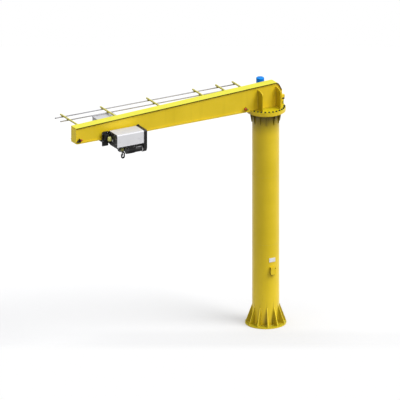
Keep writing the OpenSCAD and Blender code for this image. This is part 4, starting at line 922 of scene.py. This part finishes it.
class CRANE_OT_slewing_drive(CraneStep):
    """Lids, glands, plugs and the grille of the slewing drive"""

    bl_idname = "crane.slewing_drive"
    bl_label = "Slewing drive trim"

    def build(self):
        low, high = BOX["slew_motor"]
        x, y, z = high.x, TOWER.y, low.z + 0.07
        fit("lifting_eye", self.eye(y, high), "arm", "steel")
        fit("motor_plate", self.blank(y, low, high), "arm", "steel")
        wide, tall, thick, margin = 0.037, 0.042, 0.003, 0.006
        lid = brick((x - 0.001, y - wide, z - tall), (x + thick, y + wide, z + tall))
        lid = faced(lid, "X", 1, inset=0.008, height=0.003, edge=0.0015)
        fit("motor_terminal_lid", lid, "arm", "blue")
        screws = [(x + thick, y + sy * (wide - margin), z + sz * (tall - margin))
                  for sy in (-1, 1) for sz in (-1, 1)]
        bolts("motor_lid_screws", screws, LID_SCREW, "X", "arm", "steel")
        gland = soften(rod(0.011, 0.016, (x - 0.022, y, z - 0.047), "Z", 6), 0.001)
        nut = rod(0.008, 0.014, (x - 0.022, y, z - 0.058), "Z", 20)
        nut = faced(nut, "Z", -1, inset=0.002, height=-0.004, edge=0.001)
        fit("motor_gland", [gland, nut], "arm", "sealing")
        top = BOX["fan_cover"][1].z - 0.0035
        bars = [ring(0.018 + 0.009 * i, 0.0022, (0, y, top), "Z", 48, 6) for i in range(4)]
        spoke = rod(0.002, 0.092, (0, 0, 0), "X", 8)
        bars += copies(spoke, [((0, y, top), math.pi * i / 3) for i in range(3)])
        fit("fan_grille", bars, "arm", "sealing")
        plugs = [(PLUG_X, y + 0.03, TURN_TOP + height) for height in PLUG_UP]
        bolts("gearbox_plugs", plugs, OIL_PLUG, "X", "arm", "steel")

    def eye(self, y, high):
        """Lifting eye on the side of the motor, above the terminal box."""
        loop = ring(0.013, 0.0035, (high.x - 0.036, y, high.z - 0.075), "Y", 32, 10)
        foot = rod(0.006, 0.012, (high.x - 0.054, y, high.z - 0.075), "X", 16)
        return [loop, soften(foot, 0.001)]

    def blank(self, y, low, high):
        """Blank plate on the terminal box."""
        x = high.x - 0.034
        plate = brick((x - 0.03, y - 0.0355, low.z + 0.05), (x + 0.01, y - 0.0335, low.z + 0.09))
        return faced(plate, "Y", -1, inset=0.002, height=0.0004, edge=0.0006, segments=1)


class CRANE_OT_rails(CraneStep):
    """Clamp bolts on the cross arms and bolts and bands of the end stops"""

    bl_idname = "crane.rails"
    bl_label = "Rail and stop bolts"

    def build(self):
        top = BOX["cross_arms"][1].z
        places = [(x + dx, y, top) for x in ARM_X for y in RAIL_Y for dx in (-0.008, 0.008)]
        bolts("rail_clamp_bolts", places, CLAMP_BOLT, "Z", "arm", "steel")
        places = [(x, y, LEDGE_Z + 0.042) for y in (-0.130, 0.130) for x in STOP_BOLT_X]
        bolts("end_stop_bolts", places, STOP_BOLT, "Z", "arm", "steel")
        low, high = BOX["buffers"]
        y, z = high.y - 0.028, (low.z + high.z) / 2
        bands = [ring(0.0270, 0.0022, (x, side * y, z), "X", 40, 8)
                 for side in (-1, 1) for x in BUFFER_BAND_X]
        fit("buffer_bands", bands, "arm", "red")


class CRANE_OT_trolley(CraneStep):
    """Hub bolts, plate bolts and the beads of the trolley"""

    bl_idname = "crane.trolley"
    bl_label = "Trolley trim"

    def build(self):
        wheel_z = (BOX["wheel_near_front"][0].z + BOX["wheel_near_front"][1].z) / 2
        far = -BOX["axles"][1].y
        places = [at for x in WHEEL_X for at in circle_places((x, far, wheel_z), 0.020, 3, "Y", 0.5)]
        bolts("hub_bolts", places, HUB_BOLT, "-Y", "trolley", "steel")
        edge = BOX["hoist_gearbox"][0].y
        places = [(x, -edge, z) for x, z in SIDE_BOLTS_FAR]
        bolts("side_plate_bolts_far", places, (sizes().bolt, 0.009), "-Y", "trolley")
        places = [(x, edge, z) for x, z in SIDE_BOLTS_NEAR]
        bolts("side_plate_bolts_near", places, SIDE_BOLT, "Y", "trolley", "steel")
        beads = [bead(x1 - x0, 0.004, ((x0 + x1) / 2, side * (edge - 0.020), z), "X")
                 for x0, x1, z, side in FRAME_BEADS]
        fit("frame_beads", beads, "trolley", "black")
        lug = rod(0.016, 0.012, (0, 0, 0), "Y", 28)
        lug = faced(lug, "Y", -1, inset=0.004, height=0.0015, edge=0.0015)
        lugs = copies(lug, [(x, -edge - 0.004, TIE_Z) for x in TIE_X])
        fit("tie_bar_ends", lugs, "trolley", "steel")


class CRANE_OT_hoist(CraneStep):
    """Fasteners, caps and small fittings of the hoist"""

    bl_idname = "crane.hoist"
    bl_label = "Hoist trim"

    def build(self):
        self.ends()
        self.motor_fins()
        self.cover()
        self.motor_box()
        self.brake()
        low, high = BOX["travel_motor"]
        middle = (low + high) / 2
        bands = [ring(0.0424, 0.0016, (middle.x, middle.y, low.z + dz), "Z", 64, 8)
                 for dz in MOTOR_BAND_UP]
        fit("travel_motor_bands", bands, "trolley", "pale")

    def ends(self):
        """Shaft cap, bolts of the end plates and ribs of the gearbox."""
        cap = rod(0.022, 0.008, (BOX["rope_drum"][1].x - 0.001, DRUM.y, DRUM.z), "X", 32)
        cap = faced(cap, "X", 1, inset=0.005, height=0.0015, edge=0.0015)
        fit("drum_shaft_cap", cap, "drum", "steel")
        front = BOX["drum_end_plate"][0].x + 0.014
        places = circle_places((front + 0.010, DRUM.y, DRUM.z), 0.038, 4, "X", math.pi / 4)
        bolts("drum_bearing_bolts", places, DRUM_BOLT, "X", "trolley", "steel")
        places = [(front, y, z) for y, z in END_PLATE_BOLTS]
        bolts("end_plate_bolts", places, END_PLATE_BOLT, "X", "trolley", "steel")
        back = BOX["hoist_gearbox"][0].x + 0.012
        places = [(back, y, z) for y, z in GEARBOX_BOLTS]
        bolts("gearbox_bolts", places, GEARBOX_BOLT, "-X", "trolley")
        ribs = [brick((x, 0.5385, 4.93), (x + 0.004, 0.5412, 5.31)) for x in GEARBOX_RIB_X]
        ribs = [soften(rib, 0.001, 1) for rib in ribs]
        fit("gearbox_ribs", ribs, "trolley", "black")

    def motor_fins(self):
        low, high = BOX["hoist_motor"]
        fins = []
        for i in range(FINS):
            fin = brick((low.x + 0.022, -0.0012, 0.062), (high.x - 0.030, 0.0012, 0.0668))
            turn = Matrix.Rotation(FIN_START + FIN_ARC * i / (FINS - 1), 4, "X")
            fin.data.transform(Matrix.Translation((0, MOTOR.y, MOTOR.z)) @ turn)
            fins.append(soften(fin, 0.0005, 1))
        fit("hoist_motor_fins", fins, "trolley", "black")

    def cover(self):
        """Screws, hem, louvres and seams of the hoist cover."""
        low, high = BOX["hoist_cover"]
        front = high.y
        places = [(low.x + 0.03 + COVER_SCREW_STEP * i, front - 0.0015, z) for i in range(COVER_SCREWS)
                  for z in (low.z + 0.014, high.z - 0.045)]
        bolts("cover_screws", places, COVER_SCREW, "Y", "trolley", "steel")
        hem = brick((low.x, front - 0.012, low.z - 0.0005), (high.x, front + 0.0015, low.z + 0.006))
        fit("cover_hem", soften(hem, 0.001), "trolley", "grey")
        vents = []
        for i in range(LOUVRES):
            z = low.z + 0.05 + LOUVRE_STEP * i
            for x in (low.x + 0.05, high.x - 0.15):
                vent = brick((x, front - 0.001, z), (x + 0.1, front + 0.0008, z + 0.006))
                vents.append(faced(vent, "Y", 1, inset=0.001, height=0.0004, edge=0.0006, segments=1))
        fit("cover_louvres", vents, "trolley", "grey")
        seams = []
        for x in (low.x + 0.012, high.x - 0.015):
            seam = brick((x, front - 0.0005, low.z + 0.004), (x + 0.003, front + 0.0012, high.z - 0.03))
            seams.append(soften(seam, 0.0004, 1))
        fit("cover_seams", seams, "trolley", "grey")

    def motor_box(self):
        """Slots of the motor's fan cover, lid, screws and roof of its terminal box."""
        low, high = BOX["hoist_motor"]
        slots = []
        for i in range(6):
            slot = rod(0.0018, 0.05, (high.x - 0.001, MOTOR.y - 0.03 + 0.012 * i, MOTOR.z), "Z", 8)
            slots.append(soften(slot, 0.0008, 1))
        fit("hoist_fan_slots", slots, "trolley", "sealing")
        low = Vector((low.x + 0.024, MOTOR.y - 0.044, MOTOR.z + 0.055))
        high = Vector((high.x - 0.024, MOTOR.y + 0.044, high.z))
        lid = brick((low.x + 0.004, high.y - 0.001, low.z + 0.012),
                    (high.x - 0.004, high.y + 0.003, high.z - 0.004))
        lid = faced(lid, "Y", 1, inset=0.008, height=0.002, edge=0.0015)
        fit("hoist_terminal_lid", lid, "trolley", "black")
        places = [(x, high.y + 0.0035, z) for x in (low.x + 0.012, high.x - 0.012)
                  for z in (low.z + 0.02, high.z - 0.012)]
        bolts("terminal_lid_screws", places, LID_SCREW, "Y", "trolley", "steel")
        roof = brick((low.x + 0.002, low.y + 0.002, high.z - 0.001),
                     (high.x - 0.002, high.y - 0.002, high.z + 0.002))
        roof = faced(roof, "Z", 1, inset=0.006, height=0.0008, edge=0.0008)
        fit("terminal_roof", roof, "trolley", "grey")

    def brake(self):
        """Cooling bands of the brake, its terminal box and the tray under that."""
        low, high = BOX["hoist_brake"]
        y, z = MOTOR.y, high.z + 0.002
        bands = [ring(0.0575, 0.0024, (low.x + dx, y, MOTOR.z), "X", 64, 8)
                 for dx in BRAKE_BAND_X]
        fit("brake_bands", bands, "trolley", "sealing")
        case = brick((low.x + 0.002, y - 0.045, z + 0.022),
                     (high.x - 0.016, y + 0.045, BOX["hoist_cover"][0].z))
        case = faced(case, "Y", 1, inset=0.008, height=0.002, edge=0.002)
        fit("brake_box", case, "trolley", "black")
        tray = brick((low.x + 0.0005, y - 0.05, z), (high.x - 0.014, y + 0.05, z + 0.023))
        tray = faced(tray, "Z", -1, inset=0.004, height=-0.003, edge=0.0015)
        fit("brake_tray", tray, "trolley", "cast")


class CRANE_OT_electrics(CraneStep):
    """Door, hinges, locks and glands of the electrics box and the rear box"""

    bl_idname = "crane.electrics"
    bl_label = "Electrics trim"

    def build(self):
        low, high = BOX["electrics_box"]
        face = low.y + 0.006
        door = brick((low.x + 0.03, face - 0.006, low.z + 0.02),
                     (high.x - 0.03, face + 0.001, high.z - 0.03))
        door = faced(door, "Y", -1, inset=0.010, height=0.0, edge=0.002)
        fit("electrics_door", door, "trolley", "grey")
        places = [(low.x + 0.026, face - 0.001, z) for z in (low.z + 0.07, high.z - 0.09)]
        hinges = copies(soften(rod(0.005, 0.05, (0, 0, 0), "Z", 16), 0.001), places)
        fit("electrics_hinges", hinges, "trolley", "steel")
        places = [(high.x - 0.05, face - 0.0065, z) for z in (low.z + 0.09, high.z - 0.11)]
        lock = faced(rod(0.010, 0.005, (0, 0, 0), "Y", 24), "Y", -1, inset=0.003, height=0.0, edge=0.001)
        fit("electrics_locks", copies(lock, places), "trolley", "sealing")
        places = [(low.x + 0.10 + 0.06 * i, (low.y + high.y) / 2, low.z - 0.006) for i in range(5)]
        glands = copies(soften(rod(0.012, 0.018, (0, 0, 0), "Z", 6), 0.001), places)
        fit("electrics_glands", glands, "trolley", "sealing")
        self.rear_box()

    def rear_box(self):
        """Lid, black block and pipe of the box behind the girder; the black block below the lid is a
        painted shadow.
        """
        low, high = BOX["rear_box"]
        lid = brick((low.x - 0.003, low.y + 0.008, high.z - 0.060),
                    (low.x + 0.001, high.y - 0.008, high.z - 0.007))
        lid = faced(lid, "X", -1, inset=0.006, height=0.001, edge=0.0015)
        fit("rear_box_lid", lid, "arm", "yellow")
        # Black block below the lid, where the box's shadow falls: painted shade
        socket = brick((low.x + 0.002, low.y + 0.012, high.z - 0.105),
                       (high.x - 0.02, high.y - 0.004, high.z - 0.066))
        socket = faced(socket, "Z", -1, inset=0.010, height=0.008, edge=0.002)
        fit("rear_box_shadow_block", socket, "arm", "sealing")
        x, y = low.x + 0.030, high.y - 0.034
        end = high.z - 0.112
        pipe = rod(PIPE_R, end - TURN_TOP, (x, y, (end + TURN_TOP) / 2), "Z", 28)
        pipe = faced(pipe, "Z", 1, inset=0.002, height=0.003, edge=0.001)
        foot = rod(PIPE_FOOT_R, 0.006, (x, y, TURN_TOP + 0.003), "Z", 28)
        foot = faced(foot, "Z", 1, inset=0.004, height=0.002, edge=0.001)
        nut = soften(rod(PIPE_NUT_R, 0.016, (x, y, high.z - 0.121), "Z", 6), 0.001)
        fit("rear_box_pipe", [pipe, foot, nut], "arm", "arm")


class CRANE_OT_ropes(CraneStep):
    """Rope falls that stretch between the trolley and the hook block"""

    bl_idname = "crane.ropes"
    bl_label = "Rope falls"

    def build(self):
        falls = []
        for x in (HOOK_X - SHEAVE_GAP, HOOK_X + SHEAVE_GAP):
            for y in (-SHEAVE_R, SHEAVE_R):
                fall = rod(ROPE_R, FALL_TOP - BLOCK_Z, (x, y, (FALL_TOP + BLOCK_Z) / 2), "Z", 24)
                fall = faced(fall, "Z", 1, inset=ROPE_R * 0.3, height=0, edge=ROPE_R * 0.08, segments=1)
                falls.append(fall)
        made = join(falls)
        made.name = "rope_falls_drawn"
        dress(made, "rope")
        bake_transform(made)
        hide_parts("rope_falls")


class CRANE_OT_hook_block(CraneStep):
    """Bolts and shrouds of the cheeks, forged hook bowl and sheet latch with its spring"""

    bl_idname = "crane.hook_block"
    bl_label = "Hook block trim"

    def build(self):
        low, high = BOX["block_cheeks"]
        for name, x, axis in (("cheek_bolts_rear", low.x, "-X"), ("cheek_bolts_front", high.x, "X")):
            places = [(x, y, z) for y in (-0.05, 0.05) for z in (BLOCK_Z + 0.035, BLOCK_Z - 0.062)]
            bolts(name, places, CHEEK_BOLT, axis, "hook_block", "steel")
        inner = BOX["block_sheave_b"][0].x - HOOK_X - 0.045
        outer = high.x - HOOK_X - 0.006
        shrouds = []
        for end in (-1, 1):
            x0, x1 = sorted((HOOK_X + end * inner, HOOK_X + end * outer))
            for side in (-1, 1):
                y = side * SHROUD_Y
                shroud = brick((x0, y - 0.002, BLOCK_Z - 0.066), (x1, y + 0.002, BLOCK_Z + 0.006))
                shrouds.append(faced(shroud, "Y", side, inset=0.006, height=0.0012, edge=0.0012))
        fit("sheave_shrouds", shrouds, "hook_block", "pale")
        guard = rod(GUARD_R, 0.005, (high.x + 0.002, 0.006, BLOCK_Z - 0.004), "X", 40)

        def lower_rim(face):
            return face.calc_center_median().z < BLOCK_Z - 0.03 and abs(face.normal.x) < 0.5

        edit(guard, lower_rim, lambda: bpy.ops.transform.translate(value=(0, 0, -0.006)))
        guard = faced(guard, "X", 1, inset=0.010, height=0.004, edge=0.0015)
        fit("cheek_guard", guard, "hook_block", "black")
        keeper = rod(KEEPER_R, 0.004, (high.x + 0.008, 0.006, BLOCK_Z - 0.004), "X", 28)
        keeper = faced(keeper, "X", 1, inset=0.005, height=0.0015, edge=0.001)
        fit("axle_keeper", keeper, "hook_block", "steel")
        self.hook()
        self.latch()

    def hook(self):
        """Point and bowl of the forged hook."""
        foot = BOX["hook"][0].z
        point = rod(POINT_R, 0.004, (HOOK_X + POINT_OUT, 0, foot + POINT_UP), "Z", 28)
        draw_out(point, POINT_STEPS)
        fit("hook_point", soften(point, 0.0012, 2, 25), "hook", "hook")
        middle = Vector((HOOK_X, 0, foot + HOOK_BEND_UP))
        bowl = rod(HOOK_BAR_R, 0.002, middle + Vector((HOOK_BEND_R, 0, 0.001)), "Z", 28)
        edit(bowl, facing("Z", -1),
             lambda: bpy.ops.mesh.spin(steps=28, angle=math.pi, center=middle, axis=(0, -1, 0)))
        if max(v.co.z for v in bowl.data.vertices) > middle.z + 0.02:
            raise RuntimeError("the bowl of the hook was spun upwards")

        def close():
            bpy.ops.mesh.remove_doubles(threshold=0.0001)
            bpy.ops.mesh.normals_make_consistent(inside=False)

        edit(bowl, lambda face: True, close)
        fit("hook_bowl", bowl, "hook", "hook")

    def latch(self):
        """Bent cheeks of the latch and its spring."""
        pin = Vector((BOX["latch"][1].x - 0.007, 0, BOX["latch"][1].z - 0.007))

        def taper():
            bpy.ops.mesh.extrude_region_move(TRANSFORM_OT_translate={"value": (0.003, 0, -0.016)})
            bpy.ops.transform.resize(value=(0.45, 1, 1), center_override=(0, 0, -0.066))

        cheeks = []
        for y in (-CHEEK_Y, CHEEK_Y):
            cheek = brick((-0.017, y - 0.0015, -0.050), (0, y + 0.0015, 0.002))
            edit(cheek, facing("Z", -1), taper)
            cheeks.append(slanted(soften(cheek, 0.0008, 1), pin, CHEEK_LEAN))
        fit("latch_cheeks", cheeks, "latch", "hook")
        x, z = HOOK_X + 0.028, BOX["hook"][0].z + 0.138
        coil = [ring(SPRING_R, SPRING_WIRE, (x, -0.0075 + SPRING_PITCH * i, z), "Y", 20, 6)
                for i in range(SPRING_TURNS)]
        fit("latch_spring", coil, "hook", "steel")


class CRANE_OT_stage(CraneStep):
    """Floor, light and camera of the picture"""

    bl_idname = "crane.stage"
    bl_label = "Stage"

    def build(self):
        s = sizes()
        turn, rise = s.view_turn, s.view_rise
        back = Vector((math.sin(turn) * math.cos(rise), -math.cos(turn) * math.cos(rise), math.sin(rise)))
        toward = Vector((math.sin(turn), -math.cos(turn), 0))
        right = Vector((0, 0, 1)).cross(toward)
        clear()
        bpy.ops.object.camera_add()
        camera = bpy.context.object
        camera.data.type = "ORTHO"
        camera.data.ortho_scale = s.frame_width
        up = back.cross(right)
        camera.location = right * PICTURE_RIGHT + up * PICTURE_UP + back * CAMERA_FAR
        camera.rotation_mode = "QUATERNION"
        camera.rotation_quaternion = (-back).to_track_quat("-Z", "Y")
        camera.data.clip_start, camera.data.clip_end = CAMERA_CLIP
        bpy.context.scene.camera = camera
        clear()
        bpy.ops.mesh.primitive_plane_add(size=1)
        floor = bpy.context.object
        floor.name = "floor"
        floor.scale = FLOOR_SIZE
        bpy.ops.object.transform_apply(location=True, rotation=True, scale=True)
        floor.data.transform(Matrix.Rotation(math.atan2(right.y, right.x), 4, "Z")
                             @ Matrix.Translation((0, 0, -FLOOR_GAP)))
        floor.data.materials.append(floor_finish("pale_floor", tone=0.46, glow=0.26, bounce=0.3,
                                                 away=-toward, side=right))
        side = right * LAMP_RIGHT + toward * LAMP_FRONT
        aim = Vector((side.x, side.y, 0)).normalized() * math.cos(s.sun_rise)
        aim.z = math.sin(s.sun_rise)
        bpy.ops.object.light_add(type="SUN", location=(0, 0, 8))
        sun = bpy.context.object
        sun.rotation_mode = "QUATERNION"
        sun.rotation_quaternion = aim.to_track_quat("Z", "Y")
        sun.data.energy = LAMP_POWER
        sun.data.angle = LAMP_SPREAD
        self.sky(bpy.context.scene)
        bpy.context.scene.view_settings.view_transform = "Standard"

    def sky(self, scene):
        """White to the camera; for the crane it is bright above and dark near the floor."""
        scene.world = bpy.data.worlds.new("studio")
        scene.world.use_nodes = True
        scene.world.node_tree.nodes.clear()
        f = Tree(scene.world.node_tree)
        rays = [f.node("ShaderNodeLightPath", output="Is %s Ray" % kind)
                for kind in ("Camera", "Glossy", "Transmission")]
        clamped = {"operation": "ADD", "use_clamp": True}
        seen = f.node("ShaderNodeMath", clamped, {0: rays[0], 1: rays[1]})
        through = f.node("ShaderNodeMath", clamped, {0: seen, 1: rays[2]})
        white = f.node("ShaderNodeBackground", None, {"Color": (1, 1, 1), "Strength": 1.0})
        height = f.part(f.node("ShaderNodeTexCoord"), "Z")
        light = f.limit(height, 0.0, 0.3) + 0.07
        ambient = f.node("ShaderNodeBackground", None, {"Color": (1, 1, 1), "Strength": light})
        mixed = f.node("ShaderNodeMixShader", None, {0: through, 1: ambient, 2: white})
        f.node("ShaderNodeOutputWorld", None, {"Surface": mixed}, None)


STEPS = (CRANE_OT_finishes, CRANE_OT_girder, CRANE_OT_column, CRANE_OT_bearing, CRANE_OT_slewing_drive,
         CRANE_OT_rails, CRANE_OT_trolley, CRANE_OT_hoist, CRANE_OT_electrics, CRANE_OT_ropes,
         CRANE_OT_hook_block, CRANE_OT_stage)


class CRANE_PT_steps(bpy.types.Panel):
    """Panel with the building steps."""

    bl_idname = "CRANE_PT_steps"
    bl_label = "Jib crane"
    bl_space_type = "VIEW_3D"
    bl_region_type = "UI"
    bl_category = "Crane"

    def draw(self, context):
        for group in (context.scene.crane_sizes, context.scene.crane_colours):
            for key in group.__annotations__:
                self.layout.prop(group, key)
        for step in STEPS:
            self.layout.operator(step.bl_idname)


CLASSES = (CraneSizes, CraneColours, *STEPS, CRANE_PT_steps)


def register():
    for item in CLASSES:
        bpy.utils.register_class(item)
    bpy.types.Scene.crane_sizes = bpy.props.PointerProperty(type=CraneSizes)
    bpy.types.Scene.crane_colours = bpy.props.PointerProperty(type=CraneColours)


def unregister():
    del bpy.types.Scene.crane_colours
    del bpy.types.Scene.crane_sizes
    for item in reversed(CLASSES):
        bpy.utils.unregister_class(item)


def main():
    register()
    for step in STEPS:
        group, name = step.bl_idname.split(".")
        getattr(getattr(bpy.ops, group), name)()


if __name__ == "__main__":
    main()
